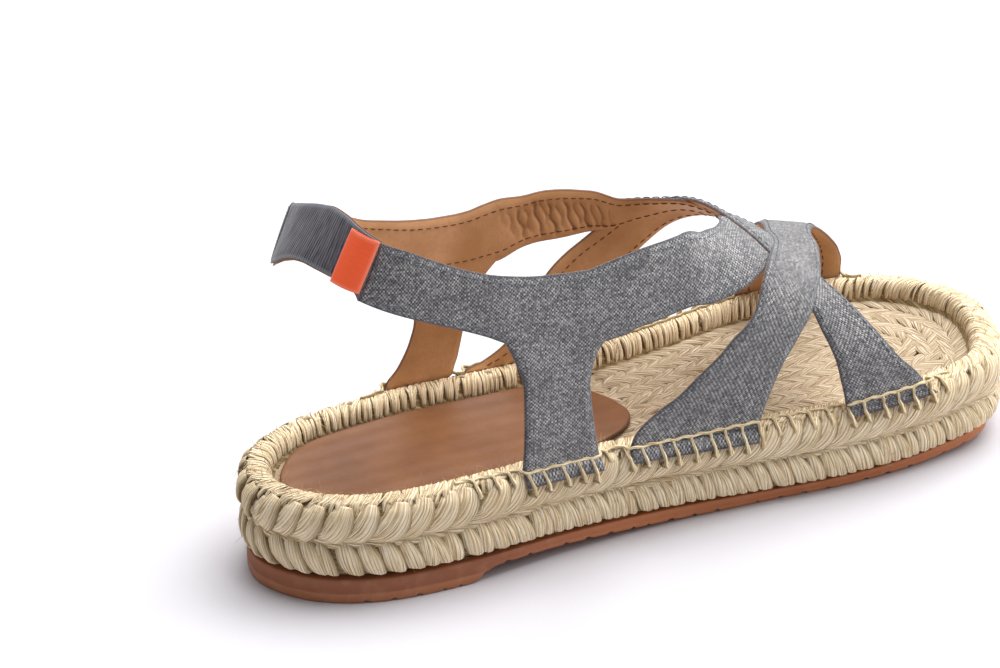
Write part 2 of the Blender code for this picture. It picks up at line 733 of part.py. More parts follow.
def make_upper(material, collection):
    """Four lined canvas straps over the last, joined where they cross."""
    sheets = (
        ("outer_quarter", quarter_sheet(OUTER_BAND, OUTER_LEG)),
        ("inner_quarter", quarter_sheet(INNER_BAND, INNER_LEG)),
        ("front_crossing", strap_sheet(FRONT_CROSSING)),
        ("rear_crossing", strap_sheet(REAR_CROSSING)),
    )
    straps = [thick_sheet(name, sheet, STRAP_THICKNESS, material, collection) for name, sheet in sheets]
    return joined("upper", straps, material, collection)


def heel_point(around, rise):
    """A point round the heel, negative on the outer side. Rise is a turn from that side's rim."""
    return last_point(around * around, rise if around < 0 else 1 - rise)


def elastic_grid():
    """The elastic's lines, from the outer quarter's end round the heel to the inner one's."""
    first, last = OUTER_BAND[0], INNER_BAND[0]
    tops = [heel_point(-math.sqrt(first.along_a), first.turn_a)]
    lows = [heel_point(-math.sqrt(first.along_b), first.turn_b)]
    for row in ELASTIC:
        tops.append(heel_point(row.round, row.rise_top))
        lows.append(heel_point(row.round, row.rise_low))
    tops.append(heel_point(math.sqrt(last.along_a), 1 - last.turn_a))
    lows.append(heel_point(math.sqrt(last.along_b), 1 - last.turn_b))
    lines = np.array([tops, lows])
    for end, inner in ((0, 1), (-1, -2)):
        for edge in lines:
            step = edge[inner] - edge[end]
            edge[end] += step / np.linalg.norm(step) * CLEARANCE
    moved = np.linalg.norm(np.diff(lines, axis=1), axis=2).sum(axis=0)
    knots = np.concatenate([[0.0], np.cumsum(moved)])
    at = np.linspace(knots[0], knots[-1], ELASTIC_STATIONS + 1)
    curves = [
        np.column_stack([smooth_value(knots, edge[:, k], at) for k in range(3)]) for edge in lines
    ]
    shares = np.linspace(0, 1, ELASTIC_CROSSWAYS + 1)
    return [[top + (low - top) * share for share in shares] for top, low in zip(*curves)]


def raised(grid, distance):
    """A grid moved out along its own normals."""
    points = np.array(grid)
    forward = np.gradient(points, axis=0)
    across = np.gradient(points, axis=1)
    normals = np.cross(across, forward)
    normals = normals / np.linalg.norm(normals, axis=2)[:, :, None]
    centre = np.array([points[:, :, 0].mean(), 0.0, points[:, :, 2].mean()])
    if (normals * (points - centre)).sum() < 0:
        normals = -normals
    return points + normals * distance


def make_elastic(material, collection):
    """Ribbed elastic webbing round the back of the heel."""
    grid = raised(elastic_grid(), (STRAP_THICKNESS - ELASTIC_THICKNESS) / 2)
    sheet = [point for line in grid for point in line], grid_faces(len(grid), len(grid[0]))
    return thick_sheet("heel_elastic", sheet, ELASTIC_THICKNESS, material, collection)


def make_tab(material, collection):
    """A folded ribbon, sewn into the seam at the outer quarter's end, lying on the elastic."""
    top, low = np.array(TAB)
    points = []
    for back in np.linspace(0, 1, TAB_STEPS + 1):
        for down in np.linspace(0, 1, TAB_STEPS + 1):
            seam, fold, rise_seam, rise_fold = top + (low - top) * down
            along = seam + (fold - seam) * back
            points.append(heel_point(-math.sqrt(along), rise_seam + (rise_fold - rise_seam) * back))
    grid = np.array(points).reshape(TAB_STEPS + 1, TAB_STEPS + 1, 3)
    lift = (STRAP_THICKNESS + ELASTIC_THICKNESS) / 2 + CLEARANCE
    grid = raised(grid, lift)
    grid[0] += (grid[1] - grid[0]) * CLEARANCE / np.linalg.norm(grid[1][0] - grid[0][0])
    sheet = [point for line in grid for point in line], grid_faces(TAB_STEPS + 1, TAB_STEPS + 1)
    return thick_sheet("ribbon_tab", sheet, TAB_THICKNESS, material, collection)


def centre_on_floor(objects):
    """Moves every object so that the origin is the middle of the whole box, on the floor."""
    bpy.context.view_layer.update()
    graph = bpy.context.evaluated_depsgraph_get()
    corners = [corner for obj in objects for corner in obj.evaluated_get(graph).bound_box]
    low = np.min(corners, axis=0)
    high = np.max(corners, axis=0)
    shift = Vector((-(low[0] + high[0]) / 2, -(low[1] + high[1]) / 2, -low[2]))
    for obj in objects:
        obj.location = shift
    print("heel of the rim at", [round(value * 1000, 3) for value in shift], "mm")


def clear_scene():
    for obj in list(bpy.data.objects):
        bpy.data.objects.remove(obj, do_unlink=True)


def main():
    clear_scene()
    sandal = bpy.data.collections.new("espadrille_sandal")
    bpy.context.scene.collection.children.link(sandal)
    rubber = finish("tan rubber", (0.33, 0.10, 0.04), 0.55)
    jute = finish("natural jute", (0.58, 0.47, 0.29), 0.90)
    leather = finish("tan leather", (0.39, 0.16, 0.08), 0.45)
    canvas = finish("grey-blue canvas", (0.16, 0.17, 0.21), 0.85)
    webbing = finish("grey elastic", (0.15, 0.16, 0.21), 0.80)
    ribbon = finish("orange ribbon", (0.89, 0.09, 0.01), 0.50)
    pieces = [
        make_outsole(rubber, sandal),
        make_jute(jute, sandal),
        make_sock(leather, sandal),
        make_upper(canvas, sandal),
        make_elastic(webbing, sandal),
        make_tab(ribbon, sandal),
    ]
    centre_on_floor(pieces)


main()
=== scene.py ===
# %% [markdown]
# # An espadrille slingback sandal
# The shoe has a plaited jute sole on a thin rubber outsole, four canvas straps lined with
# leather, a half sock of leather, an elastic heel strap and an orange ribbon tab. The packed
# CAD model gives every place and size. This lesson dresses it: each step says what the piece
# is, how it could be made in Blender, and why it is made this way here.

import math
from collections import namedtuple

import bmesh
import bpy
import numpy as np
from mathutils import Matrix, Vector


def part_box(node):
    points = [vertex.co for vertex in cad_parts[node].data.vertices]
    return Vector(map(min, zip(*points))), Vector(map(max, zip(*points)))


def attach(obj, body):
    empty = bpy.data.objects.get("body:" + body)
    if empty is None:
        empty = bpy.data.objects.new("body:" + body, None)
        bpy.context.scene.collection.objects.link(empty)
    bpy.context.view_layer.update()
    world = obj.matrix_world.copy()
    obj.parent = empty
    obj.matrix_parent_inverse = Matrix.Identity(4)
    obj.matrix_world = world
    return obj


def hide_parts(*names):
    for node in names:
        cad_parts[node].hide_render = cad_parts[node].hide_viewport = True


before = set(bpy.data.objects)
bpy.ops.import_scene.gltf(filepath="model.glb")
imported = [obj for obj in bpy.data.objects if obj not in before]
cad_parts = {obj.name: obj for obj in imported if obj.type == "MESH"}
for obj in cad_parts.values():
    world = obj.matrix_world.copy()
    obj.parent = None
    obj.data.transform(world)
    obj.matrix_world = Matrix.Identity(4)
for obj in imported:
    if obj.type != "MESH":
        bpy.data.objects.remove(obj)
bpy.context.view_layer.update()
MM = 0.001
print("CAD nodes:", ", ".join(sorted(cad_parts)))

# %% [markdown]
# ## The sole's outline
# A shoe is built on a last, and its sole is cut to the last's outline. The outline here is a
# closed smooth curve through a few half widths. A Blender curve could hold it too, but a
# table with plain functions lets every later step ask for a place along the sole.
# These sizes are those of the CAD part, in metres, with x = 0 at the back of the rim.

# %% Sizes of the sole
SOLE_LENGTH = 0.250
HEEL_WIDTH = 0.0643
BALL_WIDTH = 0.0811
HEEL_RIM_HEIGHT = 0.0331
BALL_RIM_HEIGHT = 0.027
TOE_SPRING = 0.0038
HEEL_RUBBER = 0.0080
BALL_RUBBER = 0.0034
ARCH_LIFT = 0.0040
RIM_WIDTH = 0.0080
FOOTBED_DEPTH = 0.0050
BRAID_BULGE = 0.0030
HEEL_RUBBER_FLARE = 0.0010
BALL_RUBBER_INSET = 0.0008
CLEARANCE = 0.0003
STEP_AT = 0.214
STEP_RUN = 0.040
ARCH_END = 0.60
SPRING_START = 0.72
RIM_FALL_START = 0.20
RIM_FALL_END = 0.70
TOE_APEX = 0.05

OutlineRow = namedtuple("OutlineRow", "along outer inner width")
OUTLINE = (
    OutlineRow(0.03, 0.274, 0.278, HEEL_WIDTH),
    OutlineRow(0.10, 0.446, 0.434, HEEL_WIDTH),
    OutlineRow(0.22, 0.508, 0.492, HEEL_WIDTH),
    OutlineRow(0.36, 0.474, 0.501, HEEL_WIDTH),
    OutlineRow(0.50, 0.372, 0.430, BALL_WIDTH),
    OutlineRow(0.62, 0.403, 0.499, BALL_WIDTH),
    OutlineRow(0.74, 0.443, 0.557, BALL_WIDTH),
    OutlineRow(0.86, 0.435, 0.512, BALL_WIDTH),
    OutlineRow(0.95, 0.353, 0.365, BALL_WIDTH),
)


# %% Smooth curves through tables
def smooth_value(knots, values, at):
    """A table's column read from a smooth curve that never overshoots its values."""
    knots, values = np.asarray(knots, float), np.asarray(values, float)
    steps = np.diff(knots)
    rises = np.diff(values) / steps
    slopes = np.concatenate([rises[:1], np.zeros(len(rises) - 1), rises[-1:]])
    for i in range(1, len(rises)):
        if rises[i - 1] * rises[i] > 0:
            heavy = 2 * steps[i] + steps[i - 1]
            light = steps[i] + 2 * steps[i - 1]
            slopes[i] = (heavy + light) / (heavy / rises[i - 1] + light / rises[i])
    at = np.clip(at, knots[0], knots[-1])
    i = np.clip(np.searchsorted(knots, at, side="right") - 1, 0, len(steps) - 1)
    t = (at - knots[i]) / steps[i]
    start = (2 * t**3 - 3 * t**2 + 1) * values[i] + (t**3 - 2 * t**2 + t) * steps[i] * slopes[i]
    end = (3 * t**2 - 2 * t**3) * values[i + 1] + (t**3 - t**2) * steps[i] * slopes[i + 1]
    return start + end


def closed_curve(points, samples):
    """A smooth closed curve through points, by centripetal Catmull-Rom spans."""
    points = np.asarray(points, float)
    found = []
    for i in range(len(points)):
        p0, p1, p2, p3 = (points[(i + k - 1) % len(points)] for k in range(4))
        t1 = math.sqrt(np.linalg.norm(p1 - p0))
        t2 = t1 + math.sqrt(np.linalg.norm(p2 - p1))
        t3 = t2 + math.sqrt(np.linalg.norm(p3 - p2))
        t = np.linspace(t1, t2, samples, endpoint=False)[:, None]
        a1 = (t1 - t) / t1 * p0 + t / t1 * p1
        a2 = (t2 - t) / (t2 - t1) * p1 + (t - t1) / (t2 - t1) * p2
        a3 = (t3 - t) / (t3 - t2) * p2 + (t - t2) / (t3 - t2) * p3
        b1 = (t2 - t) / t2 * a1 + t / t2 * a2
        b2 = (t3 - t) / (t3 - t1) * a2 + (t - t1) / (t3 - t1) * a3
        found.append((t2 - t) / (t2 - t1) * b1 + (t - t1) / (t2 - t1) * b2)
    return np.vstack(found)


# %% The outline as two sides and as one loop
def rim_sides():
    """The rim's outline as two curves of (x, y): the outer side, then the inner side."""
    loop = [(0.0, 0.0)]
    loop += [(row.along * SOLE_LENGTH, row.inner * row.width) for row in OUTLINE]
    loop += [(SOLE_LENGTH, TOE_APEX * BALL_WIDTH)]
    loop += [(row.along * SOLE_LENGTH, -row.outer * row.width) for row in reversed(OUTLINE)]
    curve = closed_curve(loop, 40)
    curve = np.roll(curve, -int(np.argmin(curve[:, 0])), axis=0)
    toe = int(np.argmax(curve[:, 0]))
    return np.vstack([curve[toe:], curve[:1]])[::-1], curve[: toe + 1]


RIM_OUTER, RIM_INNER = rim_sides()
LOOP = np.vstack([RIM_OUTER, RIM_INNER[::-1][1:]])
LOOP_RUN = np.concatenate([[0.0], np.cumsum(np.linalg.norm(np.diff(LOOP, axis=0), axis=1))])
LOOP_LENGTH = LOOP_RUN[-1]
TOE_RUN = LOOP_RUN[len(RIM_OUTER) - 1]
print("the rim is %.0f mm round" % (LOOP_LENGTH / MM))


def rim_y(x, side):
    """The rim's y at a place along it, on the outer side (-1) or the inner side (1)."""
    curve = RIM_OUTER if side < 0 else RIM_INNER
    return np.interp(x, curve[:, 0], curve[:, 1])


def loop_point(run):
    """A place on the loop, by the way from the heel along the outer side first."""
    run = np.mod(run, LOOP_LENGTH)
    return np.stack([np.interp(run, LOOP_RUN, LOOP[:, k]) for k in (0, 1)], axis=-1)


def loop_outward(run):
    """The level direction out of the shoe at a place on the loop."""
    forward = loop_point(run + 1.5 * MM) - loop_point(run - 1.5 * MM)
    forward = forward / np.linalg.norm(forward, axis=-1, keepdims=True)
    return np.stack([forward[..., 1], -forward[..., 0]], axis=-1)


# %% Where the CAD part stands
jute_low, jute_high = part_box("jute_sole")
outline_middle = (RIM_OUTER[:, 1].min() + RIM_INNER[:, 1].max()) / 2
SHIFT = np.array([
    jute_low.x + BRAID_BULGE,
    (jute_low.y + jute_high.y) / 2 - outline_middle,
    0.0,
])
print("the back of the rim stands at", np.round(SHIFT / MM, 2), "mm")


# %% Heights of the sole
def smooth_step(share):
    share = np.clip(share, 0.0, 1.0)
    return share * share * (3 - 2 * share)


def toe_rise(along):
    return TOE_SPRING * np.clip((along - SPRING_START) / (1 - SPRING_START), 0, 1) ** 2


def fall(along, heel, ball):
    """A height that falls from the heel's value to the ball's, then rises with the toe."""
    share = smooth_step((along - RIM_FALL_START) / (RIM_FALL_END - RIM_FALL_START))
    return heel + (ball - heel) * share + toe_rise(along)


def rim_height(along):
    return fall(along, HEEL_RIM_HEIGHT, BALL_RIM_HEIGHT)


def rubber_top(along):
    return fall(along, HEEL_RUBBER, BALL_RUBBER)


def jute_base(along):
    return rubber_top(along) + CLEARANCE


def footbed_height(along):
    return rim_height(along) - FOOTBED_DEPTH


def sole_underside(along):
    """The floor side of the rubber: flat heel block, step, lifted arch, flat ball, toe."""
    step_top = STEP_AT + STEP_RUN
    lift = smooth_step((along - STEP_AT) / STEP_RUN)
    lift = lift * (1 - smooth_step((along - step_top) / (ARCH_END - step_top)))
    return ARCH_LIFT * lift + toe_rise(along)


def rubber_out(along):
    share = smooth_step((along - RIM_FALL_START) / (RIM_FALL_END - RIM_FALL_START))
    return HEEL_RUBBER_FLARE - (HEEL_RUBBER_FLARE + BALL_RUBBER_INSET) * share


# %% The jute's side profile
WallRow = namedtuple("WallRow", "out up")
WALL = (
    WallRow(-0.33, 0.00),
    WallRow(0.60, 0.09),
    WallRow(0.87, 0.27),
    WallRow(0.60, 0.42),
    WallRow(0.20, 0.50),
    WallRow(0.72, 0.59),
    WallRow(1.00, 0.74),
    WallRow(0.80, 0.88),
    WallRow(0.00, 1.00),
)
RimTop = namedtuple("RimTop", "across rise")
RIM_TOP = (
    RimTop(0.00, 0.0),
    RimTop(0.25, 0.5 * MM),
    RimTop(0.55, 0.5 * MM),
    RimTop(0.80, -0.9 * MM),
    RimTop(0.92, -2.8 * MM),
    RimTop(1.00, -5.0 * MM),
)


def wall_out(up):
    return BRAID_BULGE * smooth_value([row.up for row in WALL], [row.out for row in WALL], up)


def side_point(run, level):
    """The jute's surface: level 0 to 1 climbs the side, and 1 to 2 goes over the rim inward."""
    run, level = np.broadcast_arrays(run, level)
    flat, outward = loop_point(run), loop_outward(run)
    along = np.clip(flat[..., 0] / SOLE_LENGTH, 0, 1)
    base, top = jute_base(along), rim_height(along)
    over = np.clip(level - 1, 0, 1)
    rise = smooth_value([row.across for row in RIM_TOP], [row.rise for row in RIM_TOP], over)
    out = np.where(level <= 1, wall_out(np.clip(level, 0, 1)), -RIM_WIDTH * over)
    height = np.where(level <= 1, base + level * (top - base), top + rise)
    return np.concatenate([flat + outward * out[..., None], height[..., None]], axis=-1)


def unit(vectors):
    return vectors / np.maximum(np.linalg.norm(vectors, axis=-1, keepdims=True), 1e-12)


def side_normal(run, level):
    step = 0.02
    round_it = side_point(run + 0.5 * MM, level) - side_point(run - 0.5 * MM, level)
    up_it = side_point(run, np.minimum(level + step, 2)) - side_point(run, np.maximum(level - step, 0))
    return unit(np.cross(round_it, up_it))


# %% [markdown]
# ## The last
# The straps lie on an unseen foot-shaped form. Each section of it is a rounded arch between
# the two sides of the rim, squarer at the toes. A sculpted mesh would need to be projected
# onto. A formula gives any point from a place along the sole and a turn over the section,
# so straps, seams and stitches all find the same surface.

# %% Sizes and sections of the last
STRAP_THICKNESS = 0.0020
INSTEP_HEIGHT = 0.082
ANKLE_HEIGHT = 0.1711
HEEL_LEAN = 0.0259
LEAN_HEIGHT = 0.1165
LEAN_POWER = 2.4
LEAN_FADE = 2.6
LEAN_END = 0.30
LAP_DEPTH = 0.0042
LAP_CLEARANCE = 0.0004
LAP_TURN = 0.02
SHARE_STEP = 0.004

TopRow = namedtuple("TopRow", "along share size power")
RIDGE = (
    TopRow(0.00, 1.00, ANKLE_HEIGHT, 2.3),
    TopRow(0.36, 0.97, ANKLE_HEIGHT, 2.3),
    TopRow(0.44, 0.88, ANKLE_HEIGHT, 2.3),
    TopRow(0.52, 1.42, INSTEP_HEIGHT, 2.35),
    TopRow(0.56, 1.17, INSTEP_HEIGHT, 2.45),
    TopRow(0.60, 1.03, INSTEP_HEIGHT, 2.6),
    TopRow(0.64, 0.95, INSTEP_HEIGHT, 2.6),
    TopRow(0.68, 0.86, INSTEP_HEIGHT, 2.6),
    TopRow(0.72, 0.79, INSTEP_HEIGHT, 2.6),
    TopRow(0.76, 0.75, INSTEP_HEIGHT, 2.6),
    TopRow(0.80, 0.71, INSTEP_HEIGHT, 2.6),
    TopRow(0.86, 0.64, INSTEP_HEIGHT, 2.6),
    TopRow(0.90, 0.60, INSTEP_HEIGHT, 2.6),
    TopRow(1.00, 0.45, INSTEP_HEIGHT, 2.6),
)


def lap_point(along, side, share):
    """A point on the outer face of the rim, where a strap is sewn down over the jute."""
    wall = rim_height(along) - jute_base(along)
    up = 1 - share * LAP_DEPTH / wall
    reach = 2 * SHARE_STEP
    y0, y1, y2 = (rim_y((along + step) * SOLE_LENGTH, side) for step in (-reach, 0, reach))
    tangent = unit(np.stack([np.full_like(y0, 2 * reach * SOLE_LENGTH), y2 - y0], axis=-1))
    outward = np.stack([-tangent[..., 1], tangent[..., 0]], axis=-1) * side
    flat = np.stack([along * SOLE_LENGTH, y1], axis=-1)
    flat = flat + outward * (wall_out(up) + LAP_CLEARANCE)[..., None]
    return np.concatenate([flat, (jute_base(along) + up * wall)[..., None]], axis=-1)


def last_point(along, turn):
    """A point of the last's surface, or of the lap below it where turn is past 0 or 1."""
    along, turn = (np.array(v, float) for v in np.broadcast_arrays(along, turn))
    none = np.zeros_like(along)
    outer, inner = lap_point(along, -1, none), lap_point(along, 1, none)
    alongs = [row.along for row in RIDGE]
    ridge = smooth_value(alongs, [row.share * row.size for row in RIDGE], along)
    bend = 2 / smooth_value(alongs, [row.power for row in RIDGE], along)
    angle = math.pi * (1 - np.clip(turn, 0, 1))
    across = np.sign(np.cos(angle)) * np.abs(np.cos(angle)) ** bend
    middle = (outer + inner) / 2
    over = middle + (inner - middle) * across[..., None]
    base = rim_height(along)
    over[..., 2] = base + (ridge - base) * np.abs(np.sin(angle)) ** bend
    lean = HEEL_LEAN * (np.maximum(over[..., 2] - base, 0) / (LEAN_HEIGHT - base)) ** LEAN_POWER
    over[..., 0] += lean * np.maximum(0, 1 - along / LEAN_END) ** LEAN_FADE
    low = lap_point(along, -1, np.maximum(0, -turn) / LAP_TURN)
    far = lap_point(along, 1, np.maximum(0, turn - 1) / LAP_TURN)
    over = np.where((turn <= 0)[..., None], low, over)
    return np.where((turn >= 1)[..., None], far, over)


print("the instep stands %.0f mm high" % (last_point(0.6, 0.5)[2] / MM))

# %% [markdown]
# ## Straps as tables
# Each strap is a row of sections from one edge to the other, given as places on the last.
# A strip of cloth could be draped by simulation, but lasted straps are pulled tight and
# sewn down, so their edges are read straight from the tables.

# %% Edges of the straps and legs
StrapRow = namedtuple("StrapRow", "along_a turn_a along_b turn_b lift")
OUTER_BAND = (
    StrapRow(0.085, 0.185, 0.067, 0.138, 0.0),
    StrapRow(0.129, 0.178, 0.110, 0.129, 0.0),
    StrapRow(0.174, 0.166, 0.155, 0.119, 0.0),
    StrapRow(0.216, 0.154, 0.205, 0.107, 0.0),
    StrapRow(0.257, 0.144, 0.241, 0.097, 0.0),
    StrapRow(0.280, 0.140, 0.265, 0.089, 0.0),
    StrapRow(0.300, 0.137, 0.290, 0.083, 0.0),
    StrapRow(0.320, 0.135, 0.315, 0.080, 0.0),
    StrapRow(0.340, 0.134, 0.340, 0.078, 0.0),
    StrapRow(0.360, 0.133, 0.362, 0.077, 0.0),
    StrapRow(0.380, 0.134, 0.384, 0.077, 0.0),
    StrapRow(0.400, 0.140, 0.404, 0.078, 0.0),
    StrapRow(0.423, 0.150, 0.423, 0.082, 0.0),
    StrapRow(0.451, 0.165, 0.447, 0.091, 0.0),
    StrapRow(0.480, 0.189, 0.475, 0.104, 0.0),
    StrapRow(0.513, 0.232, 0.528, 0.148, 0.0),
    StrapRow(0.549, 0.306, 0.575, 0.205, 0.0),
    StrapRow(0.582, 0.385, 0.618, 0.270, 0.0),
    StrapRow(0.618, 0.465, 0.652, 0.340, 0.0),
    StrapRow(0.655, 0.540, 0.686, 0.430, 0.0),
)
INNER_BAND = (
    StrapRow(0.045, 0.829, 0.042, 0.878, 0.0),
    StrapRow(0.060, 0.832, 0.055, 0.881, 0.0),
    StrapRow(0.110, 0.846, 0.105, 0.890, 0.0),
    StrapRow(0.171, 0.862, 0.160, 0.902, 0.0),
    StrapRow(0.210, 0.873, 0.200, 0.910, 0.0),
    StrapRow(0.240, 0.878, 0.235, 0.918, 0.0),
    StrapRow(0.262, 0.881, 0.260, 0.924, 0.0),
    StrapRow(0.285, 0.883, 0.283, 0.928, 0.0),
    StrapRow(0.308, 0.884, 0.306, 0.930, 0.0),
    StrapRow(0.330, 0.884, 0.330, 0.931, 0.0),
    StrapRow(0.352, 0.883, 0.352, 0.931, 0.0),
    StrapRow(0.374, 0.879, 0.374, 0.930, 0.0),
    StrapRow(0.396, 0.873, 0.396, 0.927, 0.0),
    StrapRow(0.425, 0.866, 0.430, 0.914, 0.0),
    StrapRow(0.465, 0.848, 0.480, 0.897, 0.1),
    StrapRow(0.506, 0.819, 0.520, 0.872, 0.2),
    StrapRow(0.550, 0.771, 0.570, 0.822, 0.3),
    StrapRow(0.595, 0.697, 0.618, 0.748, 0.3),
    StrapRow(0.635, 0.605, 0.655, 0.670, 0.3),
    StrapRow(0.668, 0.535, 0.690, 0.590, 0.3),
    StrapRow(0.690, 0.480, 0.715, 0.530, 0.3),
)
REAR_CROSSING = (
    StrapRow(0.430, -LAP_TURN, 0.604, -LAP_TURN, 0.0),
    StrapRow(0.436, 0.000, 0.609, 0.000, 0.0),
    StrapRow(0.471, 0.021, 0.625, 0.046, 0.0),
    StrapRow(0.498, 0.034, 0.639, 0.088, 0.1),
    StrapRow(0.525, 0.057, 0.657, 0.136, 0.2),
    StrapRow(0.552, 0.091, 0.671, 0.178, 0.4),
    StrapRow(0.574, 0.128, 0.683, 0.213, 0.6),
    StrapRow(0.597, 0.168, 0.692, 0.245, 0.8),
    StrapRow(0.612, 0.210, 0.701, 0.283, 0.9),
    StrapRow(0.623, 0.254, 0.712, 0.317, 0.95),
    StrapRow(0.635, 0.300, 0.724, 0.350, 0.95),
    StrapRow(0.650, 0.351, 0.738, 0.397, 0.95),
    StrapRow(0.668, 0.405, 0.754, 0.450, 0.95),
    StrapRow(0.689, 0.460, 0.775, 0.510, 0.95),
    StrapRow(0.712, 0.520, 0.800, 0.580, 0.8),
    StrapRow(0.735, 0.590, 0.825, 0.650, 0.6),
    StrapRow(0.750, 0.670, 0.850, 0.720, 0.4),
    StrapRow(0.757, 0.760, 0.873, 0.800, 0.2),
    StrapRow(0.757, 0.860, 0.890, 0.880, 0.1),
    StrapRow(0.757, 0.950, 0.897, 0.950, 0.0),
    StrapRow(0.757, 1.000, 0.897, 1.000, 0.0),
    StrapRow(0.757, 1.0 + LAP_TURN, 0.897, 1.0 + LAP_TURN, 0.0),
)
FRONT_CROSSING = (
    StrapRow(0.728, -0.5 * LAP_TURN, 0.848, -0.5 * LAP_TURN, 0.0),
    StrapRow(0.724, 0.000, 0.838, 0.000, 0.0),
    StrapRow(0.720, 0.030, 0.828, 0.030, 0.0),
    StrapRow(0.716, 0.061, 0.819, 0.055, 0.1),
    StrapRow(0.712, 0.104, 0.798, 0.103, 0.2),
    StrapRow(0.705, 0.147, 0.786, 0.140, 0.4),
    StrapRow(0.697, 0.191, 0.767, 0.207, 0.5),
    StrapRow(0.692, 0.230, 0.751, 0.269, 0.6),
    StrapRow(0.685, 0.280, 0.740, 0.314, 0.6),
    StrapRow(0.677, 0.330, 0.730, 0.355, 0.6),
    StrapRow(0.667, 0.390, 0.724, 0.410, 0.6),
    StrapRow(0.658, 0.450, 0.718, 0.465, 0.6),
    StrapRow(0.648, 0.520, 0.708, 0.535, 0.6),
    StrapRow(0.633, 0.600, 0.694, 0.610, 0.6),
    StrapRow(0.612, 0.680, 0.675, 0.690, 0.6),
    StrapRow(0.585, 0.755, 0.652, 0.765, 0.6),
    StrapRow(0.553, 0.825, 0.625, 0.835, 0.5),
    StrapRow(0.523, 0.879, 0.595, 0.890, 0.4),
    StrapRow(0.497, 0.908, 0.570, 0.925, 0.3),
    StrapRow(0.471, 0.933, 0.550, 0.950, 0.2),
    StrapRow(0.440, 0.964, 0.535, 0.970, 0.1),
    StrapRow(0.408, 0.989, 0.526, 0.985, 0.0),
    StrapRow(0.375, 0.997, 0.521, 0.994, 0.0),
    StrapRow(0.350, 1.000, 0.518, 1.000, 0.0),
    StrapRow(0.345, 1.0 + LAP_TURN, 0.516, 1.0 + LAP_TURN, 0.0),
)
LegRow = namedtuple("LegRow", "rear front turn")
OUTER_LEG = (
    LegRow(0.265, 0.404, 0.083),
    LegRow(0.279, 0.394, 0.071),
    LegRow(0.287, 0.385, 0.058),
    LegRow(0.289, 0.381, 0.046),
    LegRow(0.289, 0.383, 0.030),
    LegRow(0.288, 0.387, 0.014),
    LegRow(0.286, 0.392, 0.000),
    LegRow(0.285, 0.394, -LAP_TURN),
)
INNER_LEG = (
    LegRow(0.260, 0.396, 0.926),
    LegRow(0.275, 0.378, 0.938),
    LegRow(0.281, 0.362, 0.950),
    LegRow(0.281, 0.353, 0.963),
    LegRow(0.274, 0.347, 0.977),
    LegRow(0.258, 0.340, 0.991),
    LegRow(0.240, 0.333, 1.000),
    LegRow(0.234, 0.330, 1.0 + LAP_TURN),
)

# %% [markdown]
# ## Sheets
# A strap starts as an open sheet of four-sided faces. Each point keeps its thread
# coordinates: metres along the warp, metres along the weft, and metres to the nearest cut
# edge. UV maps could hold two of them, but a point attribute holds all three, and a weave
# drawn from metres keeps its real scale on every strap.

# %% Sheet helpers
Sheet = namedtuple("Sheet", "points faces normals weave lift")
ROW_STEP = 0.6 * MM
CROSS_COUNT = 22
CROSS = (1 - np.cos(np.pi * np.arange(CROSS_COUNT + 1) / CROSS_COUNT)) / 2


def grid_faces(rows, columns):
    corner = (np.arange(rows - 1)[:, None] * columns + np.arange(columns - 1)).ravel()
    return np.stack([corner, corner + 1, corner + columns + 1, corner + columns], axis=1)


def boundary_edges(faces):
    """Directed edges that only one face has."""
    edges = np.concatenate([faces[:, [k, (k + 1) % 4]] for k in range(4)])
    keys = np.sort(edges, axis=1)
    _, where, counts = np.unique(keys, axis=0, return_index=True, return_counts=True)
    return edges[where[counts == 1]]


def edge_distance(points, faces):
    """The distance from each point to the sheet's nearest edge."""
    edges = boundary_edges(faces)
    start, way = points[edges[:, 0]], points[edges[:, 1]] - points[edges[:, 0]]
    length = np.maximum((way**2).sum(1), 1e-16)
    found = np.empty(len(points))
    for low in range(0, len(points), 800):
        gap = points[low : low + 800, None] - start
        t = np.clip((gap * way).sum(2) / length, 0, 1)
        found[low : low + 800] = np.linalg.norm(gap - t[..., None] * way, axis=2).min(1)
    return found


def make_sheet(points, faces, threads, lift):
    """A sheet with its normals turned out of the shoe."""
    diagonal_a = points[faces[:, 2]] - points[faces[:, 0]]
    diagonal_b = points[faces[:, 3]] - points[faces[:, 1]]
    face_normals = np.cross(diagonal_a, diagonal_b)
    normals = np.zeros_like(points)
    for k in range(4):
        np.add.at(normals, faces[:, k], face_normals)
    centre = points * [1, 0, 0] + [0, 0, HEEL_RIM_HEIGHT]
    if (normals * (points - centre)).sum() < 0:
        normals, faces = -normals, faces[:, ::-1]
    weave = np.column_stack([threads, edge_distance(points, faces)])
    return Sheet(points, faces, unit(normals), weave, lift)


# %% Sheets from the tables
def strap_lines(rows):
    """The table read every step along the strap."""
    table = np.array(rows, float)
    moved = np.linalg.norm(np.diff(last_point(table[:, 0], table[:, 1]), axis=0), axis=1)
    moved = moved + np.linalg.norm(np.diff(last_point(table[:, 2], table[:, 3]), axis=0), axis=1)
    knots = np.concatenate([[0.0], np.cumsum(moved)])
    at = np.linspace(0, knots[-1], int(knots[-1] / 2 / ROW_STEP) + 1)
    return np.column_stack([smooth_value(knots, table[:, k], at) for k in range(5)])


def strap_places(lines):
    along = lines[:, 0:1] + (lines[:, 2:3] - lines[:, 0:1]) * CROSS
    turn = lines[:, 1:2] + (lines[:, 3:4] - lines[:, 1:2]) * CROSS
    return along, turn


